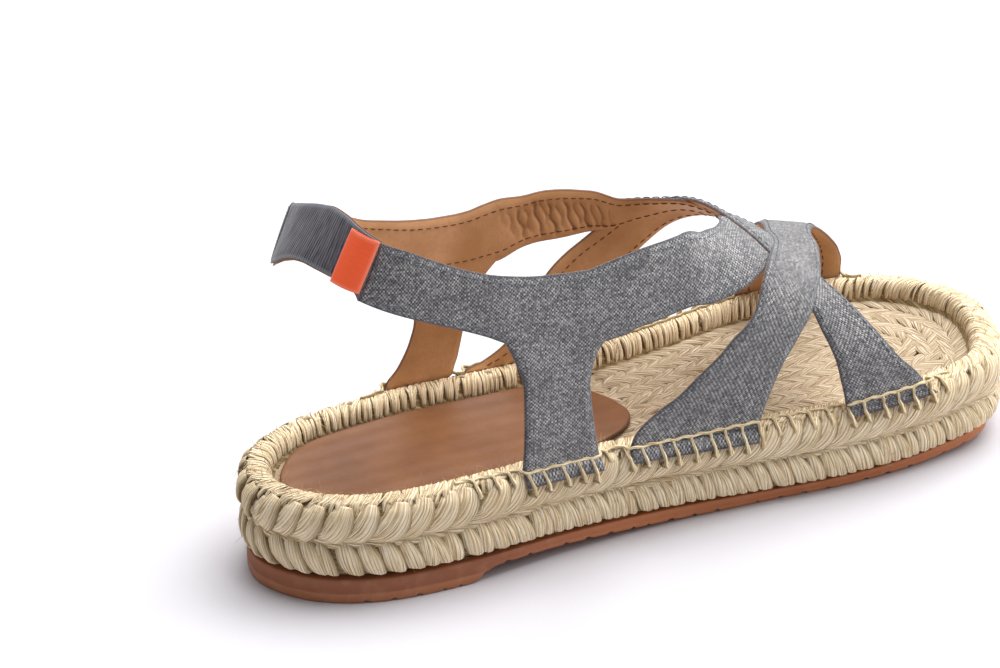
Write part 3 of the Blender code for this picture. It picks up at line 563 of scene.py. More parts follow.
def strap_sheet(rows):
    """A crossing strap, whose threads run along it and across it."""
    lines = strap_lines(rows)
    along, turn = strap_places(lines)
    points = last_point(along, turn)
    middle = points[:, CROSS_COUNT // 2]
    run = np.concatenate([[0.0], np.cumsum(np.linalg.norm(np.diff(middle, axis=0), axis=1))])
    width = np.linalg.norm(points[:, -1] - points[:, 0], axis=1)
    threads = np.stack(np.broadcast_arrays(run[:, None], (CROSS - 0.5) * width[:, None]), axis=-1)
    lift = np.repeat(lines[:, 4], CROSS_COUNT + 1)
    faces = grid_faces(len(lines), CROSS_COUNT + 1)
    return make_sheet(points.reshape(-1, 3), faces, threads.reshape(-1, 2), lift)


def section_run(along, turn):
    """The way over the last's section from the outer rim up to a turn."""
    turns = np.linspace(0, 1, 160)
    alongs = np.linspace(0, 0.8, 60)
    grid = last_point(alongs[:, None], turns[None, :])
    ways = np.linalg.norm(np.diff(grid, axis=1), axis=2)
    ways = np.concatenate([np.zeros((60, 1)), np.cumsum(ways, axis=1)], axis=1)
    i = np.clip(np.searchsorted(alongs, along) - 1, 0, 58)
    share = (along - alongs[i]) / (alongs[1] - alongs[0])
    j = np.clip(np.searchsorted(turns, turn) - 1, 0, 158)
    part = (turn - turns[j]) / (turns[1] - turns[0])
    near = ways[i, j] + (ways[i, j + 1] - ways[i, j]) * part
    far = ways[i + 1, j] + (ways[i + 1, j + 1] - ways[i + 1, j]) * part
    return near + (far - near) * share


def quarter_sheet(band_rows, leg_rows):
    """A band with the leg that hangs from its lower edge, cut from one piece of cloth."""
    lines = strap_lines(band_rows)
    along, turn = strap_places(lines)
    faces = [grid_faces(len(lines), CROSS_COUNT + 1)]
    places = [np.column_stack([along.ravel(), turn.ravel(), np.repeat(lines[:, 4], CROSS_COUNT + 1)])]
    top = leg_rows[0]
    held = np.flatnonzero((lines[:, 2] >= top.rear) & (lines[:, 2] <= top.front))
    share = (lines[held, 2] - lines[held[0], 2]) / (lines[held[-1], 2] - lines[held[0], 2])
    knots = np.arange(len(leg_rows), dtype=float)
    levels = np.linspace(0, knots[-1], 42)[1:]
    start = len(places[0])
    below = np.empty((len(held), len(levels)), int)
    for column, i in enumerate(held):
        rear_to_front = [row.rear + (row.front - row.rear) * share[column] for row in leg_rows[1:]]
        alongs = smooth_value(knots, [lines[i, 2], *rear_to_front], levels)
        turns = smooth_value(knots, [lines[i, 3], *[row.turn for row in leg_rows[1:]]], levels)
        below[column] = start + np.arange(len(levels))
        start += len(levels)
        places.append(np.column_stack([alongs, turns, np.full(len(levels), lines[i, 4])]))
    hung = np.column_stack([held * (CROSS_COUNT + 1) + CROSS_COUNT, below])
    left, right = hung[:-1], hung[1:]
    quads = np.stack([left[:, :-1], left[:, 1:], right[:, 1:], right[:, :-1]], axis=-1)
    faces.append(quads.reshape(-1, 4))
    places = np.vstack(places)
    points = last_point(places[:, 0], places[:, 1])
    threads = np.column_stack([
        places[:, 0] * SOLE_LENGTH,
        section_run(places[:, 0], np.clip(places[:, 1], 0, 1)) + np.minimum(places[:, 1], 0) * 0.2,
    ])
    return make_sheet(points, np.vstack(faces), threads, places[:, 2])


SHEETS = {
    "outer_quarter": quarter_sheet(OUTER_BAND, OUTER_LEG),
    "inner_quarter": quarter_sheet(INNER_BAND, INNER_LEG),
    "front_crossing": strap_sheet(FRONT_CROSSING),
    "rear_crossing": strap_sheet(REAR_CROSSING),
}
for name, sheet in SHEETS.items():
    print(name, "has", len(sheet.faces), "faces")

# %% [markdown]
# ## Colours and nodes
# Colours are picked as sRGB hex values, as a picture editor shows them, and shaders need
# them linear. One helper adds any node with its settings and links, so each material below
# reads as a short list of what it does.


# %% Material helpers
def linear(code):
    """An sRGB hex colour as linear values with full alpha."""
    values = [int(code[i : i + 2], 16) / 255 for i in (1, 3, 5)]
    return (*[v / 12.92 if v <= 0.04045 else ((v + 0.055) / 1.055) ** 2.4 for v in values], 1.0)


def add(material, kind, inputs=None, **settings):
    """Adds a node. Settings are its own options, and inputs are values or sockets to link."""
    node = material.node_tree.nodes.new(kind)
    for name, value in settings.items():
        setattr(node, name, value)
    for key, value in (inputs or {}).items():
        if isinstance(value, bpy.types.NodeSocket):
            material.node_tree.links.new(value, node.inputs[key])
        else:
            node.inputs[key].default_value = value
    return node


def new_material(name, values):
    """A material with its Principled shader's own numbers set."""
    material = bpy.data.materials.new(name)
    material.use_nodes = True
    for key, value in values.items():
        material.node_tree.nodes["Principled BSDF"].inputs[key].default_value = value
    return material


def wear(material, colour, normal):
    """Links a colour and a bump to the material's shader."""
    shader = material.node_tree.nodes["Principled BSDF"]
    material.node_tree.links.new(colour, shader.inputs["Base Color"])
    material.node_tree.links.new(normal, shader.inputs["Normal"])


# %% [markdown]
# ## Cotton canvas
# The straps are a plain-woven cotton chambray: a near-black warp and a pale grey weft pass
# over and under each other, so it looks like salt and pepper from near and grey from afar.
# Cotton has a nap, so it is rough, and a little sheen pales it where the light is grazing.
# A picture of cloth could be tiled, but two sine waves in thread coordinates give the
# weave at its real 0.6 mm, and each crossing gets its own shade from white noise.

# %% The canvas weave
THREAD_PITCH = 0.6 * MM
canvas = new_material(
    "woven cotton chambray",
    {"Roughness": 0.9, "IOR": 1.5, "Specular IOR Level": 0.2, "Sheen Weight": 0.4, "Sheen Roughness": 0.45},
)
threads = add(canvas, "ShaderNodeAttribute", attribute_name="weave").outputs["Vector"]
axes = add(canvas, "ShaderNodeSeparateXYZ", {0: threads})
waves, cells = [], []
for axis in (0, 1):
    count = add(canvas, "ShaderNodeMath", {0: axes.outputs[axis], 1: 1 / THREAD_PITCH}, operation="MULTIPLY")
    angle = add(canvas, "ShaderNodeMath", {0: count.outputs[0], 1: math.pi}, operation="MULTIPLY")
    waves.append(add(canvas, "ShaderNodeMath", {0: angle.outputs[0]}, operation="SINE").outputs[0])
    cells.append(add(canvas, "ShaderNodeMath", {0: count.outputs[0]}, operation="FLOOR").outputs[0])
crossing = add(canvas, "ShaderNodeMath", {0: waves[0], 1: waves[1]}, operation="MULTIPLY").outputs[0]
cell = add(canvas, "ShaderNodeCombineXYZ", {0: cells[0], 1: cells[1]}).outputs[0]
fleck = add(canvas, "ShaderNodeTexWhiteNoise", {"Vector": cell}, noise_dimensions="2D").outputs[0]
uneven = add(canvas, "ShaderNodeMath", {0: fleck, 1: 0.65, 2: crossing}, operation="MULTIPLY_ADD").outputs[0]
weft_on_top = add(canvas, "ShaderNodeMapRange", {0: uneven, 1: -0.3, 2: 0.95, 3: 0.1, 4: 0.9}).outputs[0]
uneven_yarns = []
for scale, detail in (((120.0, 1 / THREAD_PITCH, 0.0), 2.0), ((90.0, 90.0, 0.0), 1.0)):
    place = add(canvas, "ShaderNodeVectorMath", {0: threads, 1: scale}, operation="MULTIPLY").outputs[0]
    noise = add(canvas, "ShaderNodeTexNoise", {"Vector": place, "Scale": 1.0, "Detail": detail})
    uneven_yarns.append(noise.outputs[0])
slub, cloud = uneven_yarns

# %% The canvas colours
pale = add(canvas, "ShaderNodeMath", {0: fleck, 1: slub}, operation="MULTIPLY").outputs[0]
pale = add(canvas, "ShaderNodeMapRange", {0: pale, 1: 0.0, 2: 0.55, 3: 0.1, 4: 1.0}).outputs[0]
shade = add(canvas, "ShaderNodeMapRange", {0: cloud, 1: 0.35, 2: 0.65, 3: 0.0, 4: 0.22}).outputs[0]
near_edge = add(
    canvas, "ShaderNodeMapRange", {0: axes.outputs[2], 1: 0.3 * MM, 2: 0.9 * MM, 3: 0.75, 4: 0.0}
).outputs[0]
yarn_tones = []
for share, dark, light in ((slub, "#1b1b20", "#464549"), (pale, "#69686b", "#c6c4c1")):
    tone = add(canvas, "ShaderNodeMix", {0: share, 6: linear(dark), 7: linear(light)}, data_type="RGBA")
    yarn_tones.append(tone.outputs[2])
warp, weft = yarn_tones
cloth = add(canvas, "ShaderNodeMix", {0: weft_on_top, 6: warp, 7: weft}, data_type="RGBA").outputs[2]
for share, colour in ((shade, "#38373b"), (near_edge, "#40424b")):
    tone = add(canvas, "ShaderNodeMix", {0: share, 6: cloth, 7: linear(colour)}, data_type="RGBA")
    cloth = tone.outputs[2]
pillow = add(canvas, "ShaderNodeMath", {0: crossing}, operation="ABSOLUTE").outputs[0]
relief = add(canvas, "ShaderNodeMath", {0: pillow, 1: slub}, operation="ADD").outputs[0]
bump = add(canvas, "ShaderNodeBump", {"Strength": 0.6, "Distance": 0.2 * MM, "Height": relief}).outputs[0]
wear(canvas, cloth, bump)

# %% [markdown]
# ## Lining and sock leather
# The lining is thin vegetable-tanned calf, dyed tan, and the sock is the same leather in a
# redder tone. Fine pores and slow changes of tone say leather to the eye, and the cut edge
# is darker. Noise at two scales gives both, with a small bump for the grain. The lining's
# points also say how deep they lie in a crease, and shade is painted darker into the
# bottom of each crease.


# %% Leather materials
def leather(name, light, dark, edge, roughness):
    """Smooth dyed calf with pores, slow changes of tone, painted shade in its creases and a dark cut edge."""
    made = new_material(name, {"Roughness": roughness, "IOR": 1.5, "Specular IOR Level": 0.4})
    place = add(made, "ShaderNodeTexCoord").outputs["Object"]
    edge_place = add(made, "ShaderNodeAttribute", attribute_name="weave").outputs["Vector"]
    to_edge = add(made, "ShaderNodeSeparateXYZ", {0: edge_place}).outputs[2]
    tone = add(made, "ShaderNodeTexNoise", {"Vector": place, "Scale": 60.0, "Detail": 4.0}).outputs[0]
    tone = add(made, "ShaderNodeMapRange", {0: tone, 1: 0.35, 2: 0.7}).outputs[0]
    pores = add(made, "ShaderNodeTexVoronoi", {"Vector": place, "Scale": 1500.0}).outputs[0]
    grain = add(made, "ShaderNodeTexNoise", {"Vector": place, "Scale": 700.0, "Detail": 3.0}).outputs[0]
    speck = add(made, "ShaderNodeMapRange", {0: grain, 1: 0.45, 2: 0.75, 3: 0.0, 4: 0.35}).outputs[0]
    cut = add(made, "ShaderNodeMapRange", {0: to_edge, 1: 0.15 * MM, 2: 0.5 * MM, 3: 0.8, 4: 0.0}).outputs[0]
    # Painted shade: the deeper a point lies in a crease, the more it is mixed toward the dark edge colour.
    fold = add(made, "ShaderNodeAttribute", attribute_name="fold").outputs["Fac"]
    fold = add(made, "ShaderNodeMapRange", {0: fold, 1: 0.25, 2: 0.85, 3: 0.0, 4: 0.75}).outputs[0]
    skin = linear(light)
    for share, colour in ((tone, dark), (speck, dark), (cut, edge), (fold, edge)):
        layer = add(made, "ShaderNodeMix", {0: share, 6: skin, 7: linear(colour)}, data_type="RGBA")
        skin = layer.outputs[2]
    height = add(made, "ShaderNodeMath", {0: pores, 1: grain}, operation="ADD").outputs[0]
    skin_bump = add(made, "ShaderNodeBump", {"Strength": 0.35, "Distance": 0.12 * MM, "Height": height})
    wear(made, skin, skin_bump.outputs[0])
    return made


lining_leather = leather("tan calf lining", "#d2a074", "#b58354", "#6e3f22", 0.55)
sock_leather = leather("red-tan calf sock", "#7c502d", "#6b4224", "#4e2e1c", 0.48)

# %% [markdown]
# ## Jute
# Jute is a coarse plant fibre, spun loosely, so it keeps its long pale fibres and odd brown
# flecks. Each strand's points keep how far along it and round it they lie, and noise
# stretched along the strand draws the fibres. They are 0.35 mm wide, coarser than real
# ones, which would not show. A slow wave across them draws the yarns that make up a strand,
# and shade is painted into the valleys between the yarns. The third value is a whole number
# of the strand's own, so no two look alike, and its fraction says how near the strand's top
# a point lies, so that shade can be painted on the strand's underside and in the gaps.


# %% Jute and thread materials
YARN_PITCH = 1.2 * MM


def jute_fibre(name, deep, middle, pale, brown, roughness):
    """Loosely spun plant fibre, with its fibres and yarns drawn along the strand."""
    made = new_material(name, {"Roughness": roughness, "IOR": 1.45, "Specular IOR Level": 0.25})
    strand = add(made, "ShaderNodeAttribute", attribute_name="strand").outputs["Vector"]
    axes = add(made, "ShaderNodeSeparateXYZ", {0: strand})
    slant = add(made, "ShaderNodeMath", {0: axes.outputs[0], 1: 0.2}, operation="MULTIPLY").outputs[0]
    turned = add(made, "ShaderNodeMath", {0: axes.outputs[1], 1: slant}, operation="ADD").outputs[0]
    own = add(made, "ShaderNodeMath", {0: axes.outputs[2]}, operation="FLOOR").outputs[0]
    top = add(made, "ShaderNodeMath", {0: axes.outputs[2]}, operation="FRACT").outputs[0]
    place = add(made, "ShaderNodeCombineXYZ", {0: axes.outputs[0], 1: turned, 2: own}).outputs[0]
    place = add(made, "ShaderNodeVectorMath", {0: place, 1: (110.0, 2900.0, 7.3)}, operation="MULTIPLY")
    place = place.outputs[0]
    fine = {0: place, "Scale": 1.0, "Detail": 3.0, "Roughness": 0.6}
    fibre = add(made, "ShaderNodeTexNoise", fine).outputs[0]
    flecks = add(made, "ShaderNodeTexNoise", {0: place, "Scale": 0.35, "Detail": 1.0}).outputs[0]
    yarn = add(made, "ShaderNodeMath", {0: turned, 1: math.tau / YARN_PITCH}, operation="MULTIPLY").outputs[0]
    yarn = add(made, "ShaderNodeMath", {0: flecks, 1: 5.0, 2: yarn}, operation="MULTIPLY_ADD").outputs[0]
    yarn = add(made, "ShaderNodeMath", {0: yarn}, operation="SINE").outputs[0]
    low = add(made, "ShaderNodeMapRange", {0: fibre, 1: 0.30, 2: 0.47}).outputs[0]
    high = add(made, "ShaderNodeMapRange", {0: fibre, 1: 0.47, 2: 0.68}).outputs[0]
    rust = add(made, "ShaderNodeMapRange", {0: flecks, 1: 0.64, 2: 0.74, 3: 0.0, 4: 0.6}).outputs[0]
    # Painted shade: each strand's underside and sides, where it meets its neighbours, are mixed toward the
    # deep colour.
    between = add(made, "ShaderNodeMapRange", {0: top, 1: 0.0, 2: 0.75, 3: 0.85, 4: 0.0}).outputs[0]
    # Painted shade in the valleys between the yarns.
    painted_valley_shade = add(made, "ShaderNodeMapRange", {0: yarn, 1: -1.0, 2: -0.3, 3: 0.5, 4: 0.0}).outputs[0]
    tone = linear(deep)
    for share, colour in ((low, middle), (high, pale), (rust, brown), (between, deep), (painted_valley_shade, deep)):
        layer = add(made, "ShaderNodeMix", {0: share, 6: tone, 7: linear(colour)}, data_type="RGBA")
        tone = layer.outputs[2]
    relief = add(made, "ShaderNodeMath", {0: yarn, 1: 0.45, 2: fibre}, operation="MULTIPLY_ADD").outputs[0]
    fibre_bump = add(made, "ShaderNodeBump", {"Strength": 0.8, "Distance": 0.3 * MM, "Height": relief})
    wear(made, tone, fibre_bump.outputs[0])
    return made


jute = jute_fibre("spun jute", "#8f764f", "#eed7af", "#fdf2dd", "#b9854d", 0.85)
footbed_jute = jute_fibre("braided jute insole", "#7d6849", "#baa587", "#e2d5c0", "#9a6a3a", 0.9)
linen_thread = jute_fibre("natural linen thread", "#b0966a", "#e2cda4", "#f5e9d0", "#b98f55", 0.7)

# %% [markdown]
# ## Rubber, webbing and ribbon
# The outsole is moulded crepe-coloured rubber with a browner heel block. The heel strap is
# covered elastic, whose fine cross ribs catch the light, and the tab is a satin polyester
# ribbon. Each gets its own small pattern in metres.


# %% Rubber material
rubber = new_material("moulded tan rubber", {"Roughness": 0.5, "IOR": 1.52, "Specular IOR Level": 0.4})
sole_place = add(rubber, "ShaderNodeAttribute", attribute_name="strand").outputs["Vector"]
sole_axes = add(rubber, "ShaderNodeSeparateXYZ", {0: sole_place})
object_place = add(rubber, "ShaderNodeTexCoord").outputs["Object"]
forward = add(rubber, "ShaderNodeMapRange", {0: sole_axes.outputs[2], 1: 0.060, 2: 0.110}).outputs[0]
lower = add(rubber, "ShaderNodeMapRange", {0: sole_axes.outputs[1], 1: 3.4 * MM, 2: 3.0 * MM}).outputs[0]
dust = add(rubber, "ShaderNodeTexNoise", {"Vector": object_place, "Scale": 220.0, "Detail": 5.0}).outputs[0]
dusty = add(rubber, "ShaderNodeMapRange", {0: dust, 1: 0.5, 2: 0.8, 3: 0.0, 4: 0.35}).outputs[0]
sole_tone = linear("#95593a")
for share, colour in ((lower, "#a86a46"), (forward, "#bd7449"), (dusty, "#c48c66")):
    layer = add(rubber, "ShaderNodeMix", {0: share, 6: sole_tone, 7: linear(colour)}, data_type="RGBA")
    sole_tone = layer.outputs[2]
sole_bump = add(rubber, "ShaderNodeBump", {"Strength": 0.3, "Distance": 0.15 * MM, "Height": dust})
wear(rubber, sole_tone, sole_bump.outputs[0])

# %% Elastic material
RIB_PITCH = 0.9 * MM
elastic = new_material(
    "covered elastic webbing", {"Roughness": 0.85, "IOR": 1.5, "Specular IOR Level": 0.2, "Sheen Weight": 0.3}
)
web_place = add(elastic, "ShaderNodeAttribute", attribute_name="weave").outputs["Vector"]
web_axes = add(elastic, "ShaderNodeSeparateXYZ", {0: web_place})
slashes_place = add(
    elastic, "ShaderNodeVectorMath", {0: web_place, 1: (1500.0, 170.0, 0.0)}, operation="MULTIPLY"
).outputs[0]
slashes = add(elastic, "ShaderNodeTexNoise", {0: slashes_place, "Scale": 1.0, "Detail": 2.0}).outputs[0]
slash = add(elastic, "ShaderNodeMapRange", {0: slashes, 1: 0.36, 2: 0.62}).outputs[0]
web_edge = add(
    elastic, "ShaderNodeMapRange", {0: web_axes.outputs[2], 1: 0.4 * MM, 2: 1.3 * MM, 3: 0.6, 4: 0.0}
).outputs[0]
web_tone = linear("#322f38")
for share, colour in ((slash, "#5b585d"), (web_edge, "#7f858f")):
    layer = add(elastic, "ShaderNodeMix", {0: share, 6: web_tone, 7: linear(colour)}, data_type="RGBA")
    web_tone = layer.outputs[2]
rib = add(
    elastic, "ShaderNodeMath", {0: web_axes.outputs[0], 1: math.tau / RIB_PITCH}, operation="MULTIPLY"
).outputs[0]
rib = add(elastic, "ShaderNodeMath", {0: rib}, operation="SINE").outputs[0]
web_relief = add(elastic, "ShaderNodeMath", {0: rib, 1: slashes}, operation="ADD").outputs[0]
web_bump = add(elastic, "ShaderNodeBump", {"Strength": 0.4, "Distance": 0.15 * MM, "Height": web_relief})
wear(elastic, web_tone, web_bump.outputs[0])

# %% Ribbon material
ribbon = new_material("orange satin ribbon", {"Roughness": 0.42, "IOR": 1.5, "Sheen Weight": 0.2})
ribbon_place = add(ribbon, "ShaderNodeAttribute", attribute_name="weave").outputs["Vector"]
ribbon_axes = add(ribbon, "ShaderNodeSeparateXYZ", {0: ribbon_place})
satin_place = add(
    ribbon, "ShaderNodeVectorMath", {0: ribbon_place, 1: (250.0, 4000.0, 0.0)}, operation="MULTIPLY"
).outputs[0]
satin = add(ribbon, "ShaderNodeTexNoise", {0: satin_place, "Scale": 1.0, "Detail": 1.0}).outputs[0]
# Lighter along every edge: partly the ribbon's paler woven edge, partly a painted highlight where its top
# edge faces up.
selvedge_and_highlight = add(
    ribbon, "ShaderNodeMapRange", {0: ribbon_axes.outputs[2], 1: 0.5 * MM, 2: 1.2 * MM, 3: 0.55, 4: 0.0}
).outputs[0]
ribbon_tone = linear("#f5470f")
for share, colour in ((satin, "#ff6a2a"), (selvedge_and_highlight, "#ff8a66")):
    layer = add(ribbon, "ShaderNodeMix", {0: share, 6: ribbon_tone, 7: linear(colour)}, data_type="RGBA")
    ribbon_tone = layer.outputs[2]
ribbon_bump = add(ribbon, "ShaderNodeBump", {"Strength": 0.15, "Distance": 0.1 * MM, "Height": satin})
wear(ribbon, ribbon_tone, ribbon_bump.outputs[0])

# %% [markdown]
# ## Pieces from points
# Every piece below ends as one mesh. A small helper moves its points into the CAD part's
# place, turns its faces outward, stores the point attribute, and hides the CAD node the
# piece stands for.


# %% Piece helpers
def make_piece(name, points, faces, material, attribute, values, stands_for, crease_shade_depths=None):
    """A smooth mesh in the CAD part's place. Crease depths, when given, are kept for painted shade."""
    mesh = bpy.data.meshes.new(name)
    mesh.from_pydata((np.asarray(points) + SHIFT).tolist(), [], [list(map(int, f)) for f in faces])
    layer = mesh.attributes.new(attribute, "FLOAT_VECTOR", "POINT")
    layer.data.foreach_set("vector", np.ascontiguousarray(values, np.float32).ravel())
    # Crease depths become the fold attribute, which the leather reads only to paint shade into creases.
    if crease_shade_depths is not None:
        layer = mesh.attributes.new("fold", "FLOAT", "POINT")
        layer.data.foreach_set("value", np.ascontiguousarray(crease_shade_depths, np.float32))
    turned = bmesh.new()
    turned.from_mesh(mesh)
    bmesh.ops.recalc_face_normals(turned, faces=turned.faces)
    turned.to_mesh(mesh)
    turned.free()
    mesh.shade_smooth()
    mesh.materials.append(material)
    piece = bpy.data.objects.new(name, mesh)
    bpy.context.scene.collection.objects.link(piece)
    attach(piece, "root")
    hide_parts(stands_for)
    print(name, "has", sum(len(f) - 2 for f in faces), "triangles")
    return piece


def shell(sheet, low, high):
    """A closed solid between two heights over a sheet."""
    count = len(sheet.points)
    outer = sheet.points + sheet.normals * high[:, None]
    inner = sheet.points + sheet.normals * low[:, None]
    edges = boundary_edges(sheet.faces)
    walls = np.column_stack([edges[:, 1], edges[:, 0], edges[:, 0] + count, edges[:, 1] + count])
    faces = np.vstack([sheet.faces, sheet.faces[:, ::-1] + count, walls])
    return np.vstack([outer, inner]), faces, np.vstack([sheet.weave, sheet.weave])


# %% [markdown]
# ## Canvas and lining of the straps
# Each strap is canvas outside and leather inside, pressed thin along its edges where the
# canvas is turned in and sewn. Two closed shells over the same sheet give both layers, so
# the rust line of the lining shows along each edge as it does on the real shoe. The inner
# quarter's lining is rucked where the foot bends it, and its creases are listed one by one.

# %% Creases of the inner quarter's lining
# A crease starts at a place along the sole, leans toward the toe as it goes down, and runs
# between two heights above the rim. All are in millimetres.
Crease = namedtuple("Crease", "start lean high low depth")
CREASES = (
    Crease(98.5, 3.5, 3.8, 11.0, 0.35),
    Crease(101.5, 3.5, 3.5, 15.0, 0.50),
    Crease(104.5, 4.5, 3.0, 17.0, 0.70),
    Crease(107.6, 3.0, 3.4, 16.0, 0.55),
    Crease(109.9, 5.5, 3.0, 18.0, 0.75),
    Crease(113.0, 4.0, 3.4, 14.0, 0.55),
    Crease(115.4, 5.0, 3.0, 18.0, 0.80),
    Crease(118.6, 4.0, 4.2, 15.0, 0.55),
    Crease(121.2, 5.5, 3.0, 17.0, 0.75),
    Crease(124.4, 4.5, 3.4, 14.0, 0.60),
    Crease(127.0, 5.5, 3.0, 16.0, 0.75),
    Crease(130.3, 4.0, 3.4, 13.0, 0.55),
    Crease(133.2, 5.0, 3.0, 15.0, 0.65),
    Crease(136.6, 4.0, 3.4, 12.0, 0.45),
)
CREASE_WIDTH = 0.75
DEEPEST_CREASE = 0.85


def below_band_edge(sheet):
    """How far below its band's top edge each point of the inner quarter lies."""
    along = np.array([row.along_a for row in INNER_BAND])
    edge = section_run(along, np.array([row.turn_a for row in INNER_BAND]))
    return sheet.weave[:, 1] - np.interp(sheet.weave[:, 0], along * SOLE_LENGTH, edge)


def crease_depth(along_mm, below_mm):
    """How deep the lining is creased at a place along the sole and below its top edge."""
    total = np.zeros_like(along_mm)
    for crease in CREASES:
        share = (below_mm - crease.high) / (crease.low - crease.high)
        wander = 0.5 * np.sin(below_mm * 0.9 + crease.start)
        line = crease.start + crease.lean * share + wander
        inside = smooth_step(share * 6) * smooth_step((1 - share) * 4)
        total += crease.depth * inside * np.exp(-(((along_mm - line) / CREASE_WIDTH) ** 2))
    return np.minimum(total, DEEPEST_CREASE)


# %% Build the straps
EDGE_PRESS = 2.4 * MM
for name, sheet in SHEETS.items():
    middle = sheet.lift * STRAP_THICKNESS + STRAP_THICKNESS / 2
    to_edge = sheet.weave[:, 2]
    full = 0.45 + 0.55 * smooth_step(to_edge / EDGE_PRESS)
    rounding = 0.25 * np.clip(1 - to_edge / (0.5 * MM), 0, 1) ** 2
    half = (full - rounding) * STRAP_THICKNESS / 2
    points, faces, weave = shell(sheet, middle, middle + half)
    make_piece(name + "_canvas", points, faces, canvas, "weave", weave, "upper")
    creases = np.zeros(len(sheet.points))
    if name == "inner_quarter":
        creases = crease_depth(sheet.weave[:, 0] / MM, below_band_edge(sheet) / MM)
        creases = creases * smooth_step((to_edge - 0.5 * MM) / (1.5 * MM))
    points, faces, weave = shell(sheet, middle - half + creases * MM, middle - 0.02 * MM)
    # These crease depths paint shade into the lining's creases.
    crease_shade_depths = np.concatenate([np.zeros(len(creases)), creases])
    make_piece(
        name + "_lining", points, faces, lining_leather, "weave", weave, "upper", crease_shade_depths
    )

# %% [markdown]
# ## Strands
# Plaits, threads, stitches and loose fibres are all tapered tubes that follow a path over a
# surface. Curve objects with a bevel could make them, but thousands of curves are slow, so
# one function sweeps many equal paths at once into a single mesh.


# %% Sweep many strands
OWN_NUMBERS = 60
FULL_TOP = 0.98


def sweep(paths, normals, widths, heights, sides=8, plies=0, turns=0.0, depth=0.14):
    """Tapered tubes along many paths, flattened against a surface, as points, faces, places.

    Places are metres along the strand, metres round it, and its own number plus a top share.
    """
    strands, steps = paths.shape[:2]
    forward = unit(np.gradient(paths, axis=1))
    across = unit(np.cross(forward, normals))
    upward = np.cross(across, forward)
    run = np.linalg.norm(np.diff(paths, axis=1), axis=2)
    run = np.concatenate([np.zeros((strands, 1)), np.cumsum(run, axis=1)], axis=1)
    angle = np.arange(sides) / sides * math.tau
    ply = 1 + depth * np.cos(plies * (angle + run[..., None] * turns)) if plies else np.ones(sides)
    ply = np.broadcast_to(ply, (strands, steps, sides))
    side_way = across[:, :, None] * (np.cos(angle) * ply * widths[..., None])[..., None]
    up_way = upward[:, :, None] * (np.sin(angle) * ply * heights[..., None])[..., None]
    points = paths[:, :, None] + side_way + up_way
    own = np.random.default_rng(strands * 7 + steps).integers(0, OWN_NUMBERS, strands)
    places = np.empty(points.shape)
    places[..., 0] = run[..., None]
    places[..., 1] = angle * widths.max(axis=1)[:, None, None]
    # The top share is read by the jute shader only, to paint shade on each strand's underside and in the
    # gaps.
    places[..., 2] = own[:, None, None] + FULL_TOP * np.maximum(np.sin(angle), 0)
    ring = np.arange(sides)
    one = []
    for step in range(steps - 1):
        a = step * sides + ring
        b = step * sides + (ring + 1) % sides
        one.append(np.stack([a, b, b + sides, a + sides], axis=1))
    one = np.vstack(one)
    quads = (one[None] + (np.arange(strands) * steps * sides)[:, None, None]).reshape(-1, 4)
    faces = quads.tolist()
    for strand in range(strands):
        start = strand * steps * sides
        faces.append((start + ring[::-1]).tolist())
        faces.append((start + (steps - 1) * sides + ring).tolist())
    return points.reshape(-1, 3), faces, places.reshape(-1, 3)


# %% [markdown]
# ## The plaited side
# Two rows of jute lobes run round the sole. In the upper row each lobe starts as a flat
# tail in the groove, curls up and dives in under the rim's crest. The lower row is finer and
# leans the other way, down to the rubber. A displaced surface can't fold one lobe behind the
# next, so every lobe is its own strand over a core, which is painted darker as the shade
# under the lobes.

# %% Upper row of lobes
rng = np.random.default_rng(11)
UPPER_HEEL_PITCH = 7.8 * MM
UPPER_PITCH = 5.9 * MM
END_DIVE = 1.0 * MM
LobeRow =namedtuple("LobeRow", "behind level size")
UPPER_LOBE = (
    LobeRow(-11.5, 0.500, 0.35),
    LobeRow(-9.0, 0.505, 0.60),
    LobeRow(-6.6, 0.53, 0.84),
    LobeRow(-4.5, 0.59, 1.00),
    LobeRow(-2.8, 0.68, 1.06),
    LobeRow(-1.5, 0.78, 1.05),
    LobeRow(-0.6, 0.88, 1.00),
    LobeRow(-0.1, 0.95, 0.88),
    LobeRow(0.2, 1.01, 0.66),
    LobeRow(0.4, 1.06, 0.25),
)


def walk_round(heel_pitch, toe_pitch, start, end):
    """Places round the sole and the gap after each, which changes between two x values."""
    places, pitches = [], []
    run = 0.0
    while run < LOOP_LENGTH - toe_pitch / 2:
        share = smooth_step((loop_point(np.array(run))[0] - start) / (end - start))
        places.append(run)
        pitches.append(heel_pitch + (toe_pitch - heel_pitch) * share)
        run += pitches[-1]
    return np.array(places) * LOOP_LENGTH / run, np.array(pitches)


